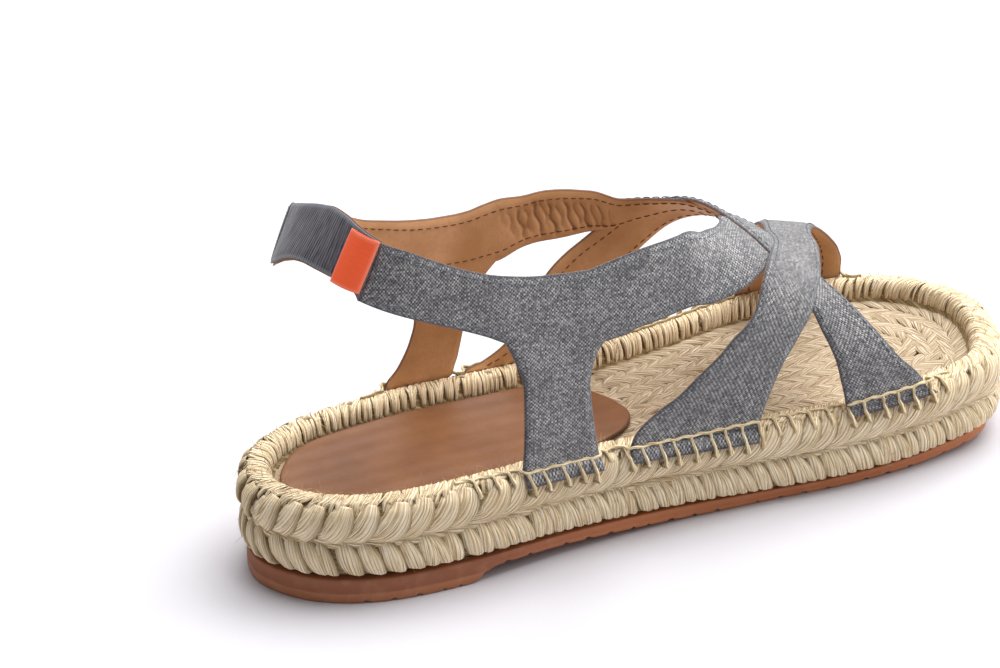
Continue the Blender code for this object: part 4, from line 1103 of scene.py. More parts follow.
def lobe_row(table, starts, widths, heights, steps, jitter, sides, tilt):
    """One row of lobes, each read from the table and moved on round the sole.

    The tilt in degrees raises each lobe's onward edge over the next lobe. Both ends dive in.
    """
    knots = np.arange(len(table), dtype=float)
    at = np.linspace(0, knots[-1], steps)
    behind, level, size = (smooth_value(knots, column, at) for column in zip(*table))
    lean = 1 + jitter * rng.normal(size=(len(starts), 1))
    run = starts[:, None] + behind * MM * lean
    levels = level + 0.010 * rng.normal(size=(len(starts), 1))
    scale = size * (1 + 0.08 * rng.normal(size=(len(starts), 1)))
    widths, heights = scale * widths[:, None], scale * heights[:, None]
    surface = side_point(run, np.clip(levels, 0, 2))
    normals = side_normal(run, np.clip(levels, 0.001, 1.999))
    onward = unit(side_point(run + 0.5 * MM, np.clip(levels, 0, 2)) - surface)
    turned = normals * math.cos(math.radians(tilt)) - onward * math.sin(math.radians(tilt))
    sink = 0.4 * heights + 0.35 * heights.max(axis=1, keepdims=True)
    sink = sink + END_DIVE * np.abs(2 * at / knots[-1] - 1) ** 6
    sunk = surface - normals * sink[..., None]
    return sweep(sunk, turned, widths, heights, sides, plies=3, turns=160.0, depth=0.06)


starts, pitches = walk_round(UPPER_HEEL_PITCH, UPPER_PITCH, 0.090, 0.140)
starts = starts + 0.12 * pitches * rng.normal(size=len(starts))
points, faces, places = lobe_row(
    UPPER_LOBE, starts, 0.56 * pitches, 0.25 * pitches, steps=26, jitter=0.10, sides=14, tilt=19
)
make_piece("plait_upper_row", points, faces, jute, "strand", places, "jute_sole")

# %% Lower row of lobes
HEEL_LOWER_PITCH = 5.5 * MM
LOWER_PITCH = 3.3 * MM
LOWER_LOBE = (
    LobeRow(-2.6, 0.52, 0.55),
    LobeRow(-2.2, 0.46, 0.80),
    LobeRow(-1.4, 0.38, 0.96),
    LobeRow(-0.3, 0.28, 1.04),
    LobeRow(0.9, 0.17, 1.00),
    LobeRow(2.0, 0.07, 0.85),
    LobeRow(2.6, 0.01, 0.60),
)
starts, pitches = walk_round(HEEL_LOWER_PITCH, LOWER_PITCH, 0.030, 0.075)
starts = starts + 0.14 * pitches * rng.normal(size=len(starts))
points, faces, places = lobe_row(
    LOWER_LOBE, starts, 0.62 * pitches, 0.32 * pitches, steps=16, jitter=0.25, sides=10, tilt=18
)
make_piece("plait_lower_row", points, faces, jute, "strand", places, "jute_sole")

# %% Fine strands over the rim
# Between the plait and the footbed the rim is wound with finer strands, which stand upright on
# its inner wall and make its thin, fuzzy crest.
CREST_PITCH = 1.5 * MM
CREST = (
    LobeRow(-2.4, 0.90, 0.50),
    LobeRow(-1.8, 0.96, 0.80),
    LobeRow(-1.2, 1.02, 0.95),
    LobeRow(-0.4, 1.15, 1.00),
    LobeRow(0.5, 1.40, 1.05),
    LobeRow(1.2, 1.65, 1.05),
    LobeRow(1.7, 1.85, 0.95),
    LobeRow(2.0, 2.00, 0.80),
)
starts = np.arange(0, LOOP_LENGTH - CREST_PITCH / 2, CREST_PITCH)
crest_size = CREST_PITCH * (1 + 0.2 * rng.normal(size=len(starts)))
points, faces, places = lobe_row(
    CREST, starts, 0.74 * crest_size, 0.40 * crest_size, steps=15, jitter=0.45, sides=6, tilt=12
)
make_piece("rim_crest", points, faces, jute, "strand", places, "jute_sole")

# %% Strands lying in the groove
GROOVE_PITCH = 11 * MM
starts = np.arange(0, LOOP_LENGTH, GROOVE_PITCH)
starts = starts + 2 * MM * rng.normal(size=len(starts))
GROOVE_LOBE = (
    LobeRow(-13.0, 0.46, 0.30),
    LobeRow(-7.0, 0.47, 0.90),
    LobeRow(0.0, 0.475, 1.00),
    LobeRow(7.0, 0.48, 0.90),
    LobeRow(13.0, 0.49, 0.30),
)
groove_width, groove_height = (np.full(len(starts), size) for size in (1.5 * MM, 0.8 * MM))
points, faces, places = lobe_row(
    GROOVE_LOBE, starts, groove_width, groove_height, steps=14, jitter=0.1, sides=8, tilt=0
)
make_piece("groove_strands", points, faces, jute, "strand", places, "jute_sole")

# %% Core under the plaits
CORE_INSET = 1.0 * MM
CORE_BELOW_FOOTBED = 1.6 * MM
CORE_WAY_UP = 15 * MM
# A top share of 0.9 keeps the strands' painted gap shade off the core, whose darker colours are painted shade
# already.
CORE_TOP_SHARE = 0.9
HALF_LOOP = 150
core_runs = np.concatenate([
    np.linspace(0, TOE_RUN, HALF_LOOP, endpoint=False),
    np.linspace(TOE_RUN, LOOP_LENGTH, HALF_LOOP, endpoint=False),
])
core_levels = np.concatenate([np.linspace(0.0, 1.0, 12), np.linspace(1.2, 2.0, 7)])


def bridge_faces(count, start):
    """Bars across a closed ring, from the outer side to the inner side."""
    faces = []
    half = count // 2
    for i in range(half):
        corners = [i, i + 1, (count - i - 1) % count, (count - i) % count]
        faces.append([start + c for c in dict.fromkeys(corners)])
    return faces


def ring_faces(count, rings):
    column = np.arange(count)
    onward = (column + 1) % count
    faces = []
    for level in range(rings - 1):
        low, high = level * count, (level + 1) * count
        faces += np.stack([low + column, low + onward, high + onward, high + column], axis=1).tolist()
    return faces


core_points = side_point(core_runs[None, :], core_levels[:, None])
core_normals = side_normal(core_runs[None, :], np.clip(core_levels[:, None], 0.02, 1.98))
core_points = core_points - core_normals * CORE_INSET
core_outward = np.append(loop_outward(core_runs), np.zeros((len(core_runs), 1)), axis=1)
core_points[0] = side_point(core_runs, np.zeros_like(core_runs)) - core_outward * CORE_INSET
core_points[-1] = side_point(core_runs, np.full_like(core_runs, 2.0)) - [0, 0, CORE_BELOW_FOOTBED]
faces = ring_faces(len(core_runs), len(core_levels))
faces += bridge_faces(len(core_runs), 0)
faces += bridge_faces(len(core_runs), (len(core_levels) - 1) * len(core_runs))
core_places = np.broadcast_arrays(core_runs[None, :], core_levels[:, None] * CORE_WAY_UP, CORE_TOP_SHARE)
core_places = np.stack(core_places, axis=-1).reshape(-1, 3)
core_points = core_points.reshape(-1, 3)
# The core's colours are darker than the plaits' jute: painted shade for the shadow under the lobes.
core_jute = jute_fibre("shaded jute core", "#5c4a30", "#8a7450", "#b39c76", "#6e4c2c", 0.95)
make_piece("jute_core", core_points, faces, core_jute, "strand", core_places, "jute_sole")

# %% [markdown]
# ## The coiled footbed
# The insole is one long jute braid, coiled from the rim inward and pressed flat. Each turn
# of the coil follows the outline a braid's width further in. Leaf-shaped strands laid in a
# herringbone along each turn give the braid, and the sock covers them at the heel.

# %% Turns of the coil
CORD_PITCH = 7.4 * MM
LEAF_PITCH = 4.4 * MM
LEAF_LENGTH = 11.0 * MM
LEAF_HALF_WIDTH = 2.15 * MM
LEAF_ANGLE = math.radians(30)
LEAF_ASIDE = 1.7 * MM
LEAF_BOW = 3.0 * MM
DEEPEST_TURN = 0.040
FLATTENED_FROM = 0.165
FLATTENED_RUN = 0.035
SOCK_END = 0.128


def coil_turn(inset):
    """The outline moved inward, as evenly spaced points, where there is room for it."""
    runs = np.linspace(0, LOOP_LENGTH, 1200, endpoint=False)
    edge = loop_point(runs)
    moved = edge - loop_outward(runs) * inset
    gap = np.linalg.norm(moved[:, None] - edge[None], axis=2).min(1)
    moved = moved[gap > inset - 0.12 * MM]
    closed = np.vstack([moved, moved[:1]])
    way = np.concatenate([[0.0], np.cumsum(np.linalg.norm(np.diff(closed, axis=0), axis=1))])
    at = np.arange(0, way[-1] - LEAF_PITCH / 2, LEAF_PITCH)
    spots = np.stack([np.interp(at, way, closed[:, k]) for k in (0, 1)], axis=1)
    ahead = np.stack([np.interp((at + MM) % way[-1], way, closed[:, k]) for k in (0, 1)], axis=1)
    return spots, unit(ahead - spots)


coil_turns = []
inset = RIM_WIDTH + CORD_PITCH / 2
while inset < DEEPEST_TURN:
    coil_turns.append(coil_turn(inset))
    inset += CORD_PITCH
# The coil's inner end is a short straight run along the middle of the sole.
middle_x = np.arange(0.110, 0.205, LEAF_PITCH)
middle_run = np.stack([middle_x, (rim_y(middle_x, -1) + rim_y(middle_x, 1)) / 2], axis=1)
coil_turns.append((middle_run, unit(np.gradient(middle_run, axis=0))))
print("the coil has", len(coil_turns), "turns")

# %% Leaves of the braid
leaf_flat = []
leaf_t = np.linspace(-0.5, 0.5, 12)
for spots, ways in coil_turns:
    aside = np.stack([-ways[:, 1], ways[:, 0]], axis=1)
    for hand in (-1, 1):
        lean = ways * math.cos(LEAF_ANGLE) + aside * math.sin(LEAF_ANGLE) * hand
        centre = spots + aside * hand * LEAF_ASIDE + ways * (LEAF_PITCH / 2 if hand > 0 else 0)
        bow = (0.25 - leaf_t**2)[None, :, None] * aside[:, None] * hand * LEAF_BOW
        leaf_flat.append(centre[:, None] + lean[:, None] * (leaf_t * LEAF_LENGTH)[None, :, None] + bow)
leaf_flat = np.vstack(leaf_flat)
leaf_flat = leaf_flat + 0.25 * MM * rng.normal(size=(len(leaf_flat), 1, 2))
under_sock = 1 - smooth_step((leaf_flat[..., 0] - SOCK_END) / (3 * MM))
pressed = smooth_step((leaf_flat[..., 0] - FLATTENED_FROM) / FLATTENED_RUN)
leaf_tuck = 0.55 * MM * (np.abs(leaf_t) * 2) ** 2 * (1 - 0.6 * pressed)
leaf_height = footbed_height(np.clip(leaf_flat[..., 0] / SOLE_LENGTH, 0, 1)) - 0.60 * MM
leaf_height = leaf_height + 0.15 * MM * pressed - leaf_tuck - 0.9 * MM * under_sock
leaf_height = leaf_height + 0.06 * MM * rng.normal(size=(len(leaf_flat), 1))
leaf_paths = np.concatenate([leaf_flat, leaf_height[..., None]], axis=2)
leaf_normals = np.broadcast_to([0.0, 0.0, 1.0], leaf_paths.shape)
leaf_size = np.maximum(np.sin(np.pi * (leaf_t + 0.5)) ** 0.5, 0.3) * np.ones((len(leaf_flat), 1))
leaf_wide, leaf_thick = leaf_size * LEAF_HALF_WIDTH, leaf_size * (0.95 - 0.45 * pressed) * MM
points, faces, places = sweep(
    leaf_paths, leaf_normals, leaf_wide, leaf_thick, sides=10, plies=3, turns=150.0, depth=0.06
)
make_piece("footbed_braid", points, faces, footbed_jute, "strand", places, "jute_sole")

# %% [markdown]
# ## The sock
# A half sock of leather is glued over the braid from the heel to the waist, with a rounded
# nose. It is a thin closed sheet that sinks a little between the coil's turns.

# %% Sock
SOCK_THICKNESS = 0.0012
SOCK_START = 0.009
SOCK_LENGTH = 0.125
SOCK_HEEL_ROUND = 0.018
SOCK_OUTER_NOSE = 0.045
SOCK_INNER_NOSE = 0.027
sock_steps = (1 - np.cos(np.pi * np.linspace(0.004, 0.996, 90))) / 2
sock_x = SOCK_START + (SOCK_LENGTH - SOCK_START) * sock_steps
sock_cross = np.linspace(-1, 1, 41)
sock_cross = np.sign(sock_cross) * (1 - (1 - np.abs(sock_cross)) ** 1.5)
sock_edges = {}
for side, nose in ((-1, SOCK_OUTER_NOSE), (1, SOCK_INNER_NOSE)):
    edge = np.abs(rim_y(sock_x, side)) - RIM_WIDTH - CLEARANCE
    ahead = np.clip((sock_x - (SOCK_LENGTH - nose)) / nose, 0, 1)
    back = np.clip((sock_x - SOCK_START) / SOCK_HEEL_ROUND, 0, 1)
    sock_edges[side] = edge * np.sqrt(1 - ahead**2) * np.sqrt(1 - (1 - back) ** 2)
sock_y = np.where(sock_cross < 0, sock_edges[-1][:, None], sock_edges[1][:, None]) * sock_cross
sock_flat = np.stack(np.broadcast_arrays(sock_x[:, None], sock_y), axis=-1)
ripple = 0.07 * MM * np.cos(sock_flat[..., 1] / CORD_PITCH * math.tau)
sock_z = footbed_height(sock_flat[..., 0] / SOLE_LENGTH) + CLEARANCE + ripple
sock_points = np.concatenate([sock_flat, sock_z[..., None]], axis=-1).reshape(-1, 3)
sock_sheet = make_sheet(
    sock_points, grid_faces(len(sock_x), len(sock_cross)), sock_points[:, :2], np.zeros(len(sock_points))
)
upright = np.broadcast_to([0.0, 0.0, 1.0], sock_points.shape)
sock_sheet = sock_sheet._replace(normals=upright)
sock_round = np.clip(sock_sheet.weave[:, 2] / (1.0 * MM), 0, 1)
sock_high = SOCK_THICKNESS * (0.55 + 0.45 * np.sqrt(1 - (1 - sock_round) ** 2))
points, faces, weave = shell(sock_sheet, np.zeros(len(sock_points)), sock_high)
make_piece("leather_sock", points, faces, sock_leather, "weave", weave, "heel_sock")

# %% [markdown]
# ## The rubber outsole
# The outsole is moulded with fine upright ribs on its edge and a cut tread below. The ribs
# are real geometry, two columns of points to each. They are drawn 1 mm apart, coarser than
# the real ones, which would not show. The tread is a row of small notches in the lowest ring.

# %% Outsole
RIB_HALF = 0.48 * MM
RIB_DEPTH = 0.22 * MM
sole_half = int(TOE_RUN / RIB_HALF / 2) * 2
sole_runs = np.concatenate([
    np.linspace(0, TOE_RUN, sole_half, endpoint=False),
    np.linspace(TOE_RUN, LOOP_LENGTH, sole_half, endpoint=False),
])
sole_flat, sole_out = loop_point(sole_runs), loop_outward(sole_runs)
sole_along = np.clip(sole_flat[:, 0] / SOLE_LENGTH, 0, 1)
under, above = sole_underside(sole_along), rubber_top(sole_along)
tread = np.sin(sole_runs / (7.3 * MM) * math.tau) + 0.6 * np.sin(sole_runs / (4.1 * MM) * math.tau + 1.0)
notch = 0.65 * MM * smooth_step((tread - 0.75) / 0.25) * smooth_step((sole_along - 0.02) / 0.05)
SoleRing = namedtuple("SoleRing", "up out ribbed notched")
SOLE_RINGS = (
    SoleRing(0.00, -0.9, 0.0, 1.0),
    SoleRing(0.02, -0.25, 0.0, 1.0),
    SoleRing(0.10, 0.0, 0.0, 0.7),
    SoleRing(0.36, 0.05, 0.3, 0.0),
    SoleRing(0.42, -0.12, 0.6, 0.0),
    SoleRing(0.48, 0.0, 1.0, 0.0),
    SoleRing(0.90, 0.0, 1.0, 0.0),
    SoleRing(0.97, -0.1, 0.6, 0.0),
    SoleRing(1.00, -0.5, 0.0, 0.0),
)
ribs = np.where(np.arange(len(sole_runs)) % 2 == 0, 0.5, -0.5) * RIB_DEPTH
sole_points, sole_places = [], []
for row in SOLE_RINGS:
    out = rubber_out(sole_along) + row.out * MM + ribs * row.ribbed - RIB_DEPTH / 2
    height = under + (above - under) * row.up + notch * row.notched
    sole_points.append(np.column_stack([sole_flat + sole_out * out[:, None], height]))
    sole_places.append(np.column_stack([sole_runs, height, sole_flat[:, 0]]))
faces = ring_faces(len(sole_runs), len(SOLE_RINGS))
faces += bridge_faces(len(sole_runs), 0)
faces += bridge_faces(len(sole_runs), (len(SOLE_RINGS) - 1) * len(sole_runs))
make_piece(
    "ribbed_outsole", np.vstack(sole_points), faces, rubber, "strand", np.vstack(sole_places),
    "rubber_outsole",
)

# %% [markdown]
# ## The heel strap and its tab
# Elastic webbing joins the two quarters round the heel, with a strip of lining behind it,
# and a folded ribbon is sewn into its outer seam. Both follow the last, as the straps do.

# %% Elastic
ELASTIC_THICKNESS = 0.0012
TAB_THICKNESS = 0.0012
ElasticRow = namedtuple("ElasticRow", "round rise_top rise_low")
ELASTIC = (
    ElasticRow(-0.24, 0.190, 0.145),
    ElasticRow(-0.19, 0.193, 0.150),
    ElasticRow(-0.12, 0.195, 0.1515),
    ElasticRow(-0.05, 0.194, 0.151),
    ElasticRow(0.00, 0.191, 0.149),
    ElasticRow(0.06, 0.187, 0.144),
    ElasticRow(0.11, 0.182, 0.136),
)


def heel_point(around, rise):
    """A point round the heel, negative on the outer side. Rise is a turn from that side's rim."""
    return last_point(np.square(around), np.where(np.asarray(around) < 0, rise, 1 - np.asarray(rise)))


def elastic_edges():
    first, last = OUTER_BAND[0], INNER_BAND[0]
    tops = [heel_point(-math.sqrt(first.along_a), first.turn_a)]
    lows = [heel_point(-math.sqrt(first.along_b), first.turn_b)]
    tops += [heel_point(row.round, row.rise_top) for row in ELASTIC]
    lows += [heel_point(row.round, row.rise_low) for row in ELASTIC]
    tops.append(heel_point(math.sqrt(last.along_a), 1 - last.turn_a))
    lows.append(heel_point(math.sqrt(last.along_b), 1 - last.turn_b))
    lines = np.array([tops, lows])
    moved = np.linalg.norm(np.diff(lines, axis=1), axis=2).sum(axis=0)
    knots = np.concatenate([[0.0], np.cumsum(moved)])
    at = np.linspace(0, knots[-1], 90)
    return [np.column_stack([smooth_value(knots, edge[:, k], at) for k in range(3)]) for edge in lines]


def band_sheet(top, low, cross):
    """A sheet between two edge lines, with thread coordinates along and across."""
    grid = top[:, None] + (low - top)[:, None] * cross[None, :, None]
    run = np.concatenate([[0.0], np.cumsum(np.linalg.norm(np.diff(top, axis=0), axis=1))])
    width = np.linalg.norm(low - top, axis=1)
    threads = np.stack(np.broadcast_arrays(run[:, None], cross * width[:, None]), axis=-1).reshape(-1, 2)
    points = grid.reshape(-1, 3)
    sheet = make_sheet(points, grid_faces(len(top), len(cross)), threads, np.zeros(len(points)))
    centre = points.mean(0) * [1, 0, 1]
    if (sheet.normals * (sheet.points - centre)).sum() < 0:
        sheet = sheet._replace(normals=-sheet.normals, faces=sheet.faces[:, ::-1])
    return sheet


elastic_top, elastic_low = elastic_edges()
elastic_cross = (1 - np.cos(np.pi * np.arange(15) / 14)) / 2
elastic_sheet = band_sheet(elastic_top, elastic_low, elastic_cross)
to_edge = elastic_sheet.weave[:, 2]
plump = 0.5 + 0.5 * smooth_step(to_edge / (1.6 * MM))
elastic_middle = STRAP_THICKNESS / 2
elastic_back = elastic_middle - 0.4 * ELASTIC_THICKNESS * plump
elastic_face = elastic_middle + 0.5 * ELASTIC_THICKNESS * plump
points, faces, weave = shell(elastic_sheet, elastic_back, elastic_face)
make_piece("heel_webbing", points, faces, elastic, "weave", weave, "heel_elastic")

down = unit(elastic_low - elastic_top)
lining_sheet = band_sheet(elastic_top - down * 0.25 * MM, elastic_low + down * 0.5 * MM, elastic_cross)
none = np.zeros(len(lining_sheet.points))
points, faces, weave = shell(lining_sheet, none - 0.05 * MM, none + 0.42 * MM)
make_piece("heel_lining", points, faces, lining_leather, "weave", weave, "heel_elastic")

# %% Ribbon tab
TabRow = namedtuple("TabRow", "along_seam along_fold rise_seam rise_fold")
TAB = (
    TabRow(0.084, 0.037, 0.186, 0.190),
    TabRow(0.067, 0.032, 0.144, 0.148),
)
FOLD_BULGE = 0.55 * MM
tab_back = np.linspace(0, 1, 25)
tab_down = (1 - np.cos(np.pi * np.linspace(0, 1, 21))) / 2
tab_top, tab_low = np.array(TAB)
corner = tab_top + (tab_low - tab_top) * tab_down[None, :, None]
tab_along = corner[..., 0] + (corner[..., 1] - corner[..., 0]) * tab_back[:, None]
tab_rise = corner[..., 2] + (corner[..., 3] - corner[..., 2]) * tab_back[:, None]
tab_grid = heel_point(-np.sqrt(tab_along), tab_rise)
tab_sheet = band_sheet(tab_grid[:, 0], tab_grid[:, -1], tab_down)
tab_normal = tab_sheet.normals.reshape(tab_grid.shape)
floor_of_tab = (STRAP_THICKNESS + ELASTIC_THICKNESS) / 2 + 0.1 * MM
puff = np.sin(np.pi * tab_back) ** 0.8
under_layer = tab_grid + tab_normal * floor_of_tab
top_layer = tab_grid + tab_normal * (floor_of_tab + TAB_THICKNESS * (0.75 + 0.55 * puff))[:, None, None]
fold_share = np.linspace(0, 1, 7)[1:-1, None, None]
fold_out = unit(tab_grid[-1] - tab_grid[-2])[None] * FOLD_BULGE * np.sin(np.pi * fold_share)
fold = under_layer[-1] + (top_layer[-1] - under_layer[-1]) * fold_share + fold_out
ribbon_grid = np.vstack([under_layer, fold, top_layer[::-1]])
flat_ribbon = band_sheet(ribbon_grid[:, 0], ribbon_grid[:, -1], tab_down)
ribbon_points = ribbon_grid.reshape(-1, 3)
ribbon_sheet = make_sheet(
    ribbon_points, flat_ribbon.faces, flat_ribbon.weave[:, :2], np.zeros(len(ribbon_points))
)
half_ribbon = np.full(len(ribbon_sheet.points), 0.16 * MM)
points, faces, weave = shell(ribbon_sheet, -half_ribbon, half_ribbon)
make_piece("folded_ribbon", points, faces, ribbon, "weave", weave, "ribbon_tab")

# %% [markdown]
# ## Hand stitching
# A blanket stitch in natural thread holds the laps: a line runs along the rim's outer edge,
# and loops go down over the canvas into the jute every 5.6 mm, so the canvas shows between
# them as dark squares. The line and the loops are strands of two plies.

# %% Blanket stitch
LapSpan = namedtuple("LapSpan", "side start end depth")
LAPS = (
    LapSpan(-1, 0.286, 0.393, LAP_DEPTH),
    LapSpan(-1, 0.432, 0.608, LAP_DEPTH),
    LapSpan(-1, 0.725, 0.844, LAP_DEPTH / 2),
    LapSpan(1, 0.236, 0.332, LAP_DEPTH),
    LapSpan(1, 0.348, 0.517, LAP_DEPTH),
    LapSpan(1, 0.757, 0.897, LAP_DEPTH),
)
PurlRow = namedtuple("PurlRow", "along rise")
PURL = {
    -1: (
        PurlRow(0.200, 2.6),
        PurlRow(0.270, 1.6),
        PurlRow(0.300, 0.6),
        PurlRow(0.390, 0.6),
        PurlRow(0.430, 0.9),
        PurlRow(0.520, 1.6),
        PurlRow(0.605, 2.8),
        PurlRow(0.660, 2.6),
        PurlRow(0.715, 2.8),
        PurlRow(0.750, 3.4),
        PurlRow(0.840, 3.6),
        PurlRow(0.880, 2.6),
    ),
    1: (
        PurlRow(0.200, 2.4),
        PurlRow(0.260, 1.2),
        PurlRow(0.500, 1.2),
        PurlRow(0.600, 2.6),
        PurlRow(0.740, 2.6),
        PurlRow(0.780, 1.6),
        PurlRow(0.880, 1.6),
        PurlRow(0.920, 2.6),
    ),
}
LAP_MARGIN = 0.004
LAP_BLEND = 0.006
PAST_LAP = 2.0 * MM
BARE_LOOP = 3.2 * MM
STITCH_PITCH = 5.6 * MM
THREAD_RADIUS = 0.50 * MM


def on_canvas(along, side):
    """1 where a strap's lap lies at this place of the rim, 0 beside it."""
    cover = np.zeros_like(along)
    for lap in LAPS:
        if lap.side == side:
            into = smooth_step((along - lap.start + LAP_MARGIN) / LAP_BLEND)
            cover = np.maximum(cover, into * smooth_step((lap.end + LAP_MARGIN - along) / LAP_BLEND))
    return cover


def outside(along, side):
    """The level direction out of the shoe at a place along one side."""
    reach = 0.008
    ahead, back = (rim_y((along + way) * SOLE_LENGTH, side) for way in (reach, -reach))
    slope = (ahead - back) / (2 * reach * SOLE_LENGTH)
    flat = unit(np.stack([-slope, np.ones_like(slope)], axis=-1)) * side
    return np.concatenate([flat, np.zeros((*flat.shape[:-1], 1))], axis=-1)


def loop_depth(along, side):
    """How far below the rim's edge the loops go: past the lap, or less on the bare jute."""
    depth = np.full_like(along, BARE_LOOP)
    for lap in LAPS:
        if lap.side == side:
            over_lap = (along > lap.start - LAP_MARGIN) & (along < lap.end + LAP_MARGIN)
            depth = np.where(over_lap, lap.depth + PAST_LAP, depth)
    return depth


def seam_spot(along, side, height):
    """A spot on a lap, or over the bare rim. Height is counted from the rim's outer edge."""
    edge = lap_point(along, side, np.maximum(-height, 0) / LAP_DEPTH)
    cover = on_canvas(along, side)[..., None]
    above = np.maximum(height, 0)[..., None]
    up = np.array([0.0, 0.0, 1.0])
    bare = up * np.minimum(above, 0.5 * MM) + up * 0.3 * MM - outside(along, side) * above
    return edge + up * above * cover + bare * (1 - cover)


purl_paths, loop_paths, loop_normals, purl_normals = [], [], [], []
for side, rows in PURL.items():
    dense = np.linspace(rows[0].along, rows[-1].along, 2000)
    line = lap_point(dense, side, np.zeros_like(dense))
    way = np.concatenate([[0.0], np.cumsum(np.linalg.norm(np.diff(line, axis=0), axis=1))])
    count = int(way[-1] / STITCH_PITCH)
    at = np.linspace(0, way[-1], count * 10 + 1)
    along = np.interp(at, way, dense)
    sag = 0.5 + 0.5 * np.cos(at / way[-1] * count * math.tau)
    rise_knots, rise_values = zip(*rows)
    rise = smooth_value(rise_knots, rise_values, along) * MM - 0.45 * MM * sag
    lift = 0.2 * MM + on_canvas(along, side) * 2.0 * MM
    purl_paths.append(seam_spot(along, side, rise) + outside(along, side) * lift[:, None])
    purl_normals.append(outside(along, side) + [0, 0, 0.6])
    knots = np.interp(np.arange(1, count) * way[-1] / count, way, dense)
    knots = knots + 0.0018 * rng.normal(size=len(knots))
    down = np.linspace(0, 1, 15)
    loop_along = knots[:, None] + (down - 0.1)[None, :] * 0.005
    top = smooth_value(rise_knots, rise_values, knots)[:, None] * MM - 0.4 * MM
    low = -loop_depth(knots, side)[:, None] * (1 + 0.08 * rng.normal(size=(len(knots), 1)))
    height = top + (low - top) * down
    sunk = smooth_step((low + 1.1 * MM - height) / (1.1 * MM))
    lift = 0.25 * MM + on_canvas(loop_along, side) * 2.3 * MM * (1 - sunk) - 0.8 * MM * sunk
    loop_paths.append(seam_spot(loop_along, side, height) + outside(loop_along, side) * lift[..., None])
    loop_normals.append(outside(loop_along, side) + [0, 0, 0.6])
loop_paths, loop_normals = np.vstack(loop_paths), unit(np.vstack(loop_normals))
loop_size = THREAD_RADIUS * (1.05 + 0.8 * np.linspace(0, 1, 15) ** 3) * np.ones((len(loop_paths), 1))
points, faces, places = sweep(loop_paths, loop_normals, loop_size, loop_size, 8, 2, 900.0, 0.2)
for path, normal in zip(purl_paths, purl_normals):
    size = np.full((1, len(path)), THREAD_RADIUS)
    more, more_faces, more_places = sweep(path[None], unit(normal)[None], size, size, 8, 2, 900.0, 0.2)
    faces += [[len(points) + k for k in face] for face in more_faces]
    points = np.vstack([points, more])
    places = np.vstack([places, more_places])
make_piece("blanket_stitch", points, faces, linen_thread, "strand", places, "upper")

# %% [markdown]
# ## Seams
# Machine stitching runs round the straps just inside their edges. Each stitch is a short
# strand that dips in at both ends. On the lining it shows as darker dashes.


# %% Rows of machine stitches
def seam_line(rows, share, outer):
    """Points and normals along a strap at a share of its width, on its outer or inner face."""
    lines = strap_lines(rows)
    along = lines[:, 0] + (lines[:, 2] - lines[:, 0]) * share
    turn = lines[:, 1] + (lines[:, 3] - lines[:, 1]) * share
    points = last_point(along, turn)
    ahead = last_point(along + 0.002, turn) - last_point(along - 0.002, turn)
    over = last_point(along, turn + 0.002) - last_point(along, turn - 0.002)
    normals = unit(np.cross(ahead, over))
    centre = points * [1, 0, 0] + [0, 0, HEEL_RIM_HEIGHT]
    if (normals * (points - centre)).sum() < 0:
        normals = -normals
    height = lines[:, 4] * STRAP_THICKNESS + (STRAP_THICKNESS * 0.985 if outer else 0.02 * MM)
    return points + normals * height[:, None], normals if outer else -normals


def stitches(points, normals, length, gap):
    """Short strands along a line, each dipping at its ends."""
    way = np.concatenate([[0.0], np.cumsum(np.linalg.norm(np.diff(points, axis=0), axis=1))])
    starts = np.arange(length, way[-1] - length, length + gap)
    t = np.linspace(0, 1, 6)
    at = starts[:, None] + t * length
    path = np.stack([np.interp(at, way, points[:, k]) for k in range(3)], axis=-1)
    normal = unit(np.stack([np.interp(at, way, normals[:, k]) for k in range(3)], axis=-1))
    dip = (np.sin(np.pi * t) ** 0.6 - 0.75) * 0.28 * MM
    return path + normal * dip[None, :, None], normal


def sew(name, rows_of_stitches, radius, material):
    points, faces, places = np.empty((0, 3)), [], np.empty((0, 3))
    for path, normal in rows_of_stitches:
        size = np.full(path.shape[:2], radius)
        more, more_faces, more_places = sweep(path, normal, size, size, 6)
        faces += [[len(points) + k for k in face] for face in more_faces]
        points = np.vstack([points, more])
        places = np.vstack([places, more_places])
    make_piece(name, points, faces, material, "strand", places, "upper")


canvas_seams, lining_seams = [], []
for rows in (OUTER_BAND, INNER_BAND, FRONT_CROSSING, REAR_CROSSING):
    for share in (0.10, 0.90):
        further_in = 0.5 + (share - 0.5) * 0.85
        canvas_seams.append(stitches(*seam_line(rows, share, True), 2.2 * MM, 0.7 * MM))
        lining_seams.append(stitches(*seam_line(rows, further_in, False), 1.9 * MM, 0.9 * MM))
grey_thread = jute_fibre("grey polyester thread", "#4c4f5a", "#7c8089", "#a6a9b0", "#5a5d66", 0.6)
brown_thread = jute_fibre("brown polyester thread", "#5e361d", "#7d4c2b", "#93603a", "#5e361d", 0.6)
sew("canvas_seams", canvas_seams, 0.17 * MM, grey_thread)
sew("lining_seams", lining_seams, 0.2 * MM, brown_thread)

# %% [markdown]
# ## Loose fibres
# Jute is never clean: short fibres stand off the plaits and a few longer ones stray over the
# sock. Hair particles would not export, so they are thin three-sided strands with a seed.

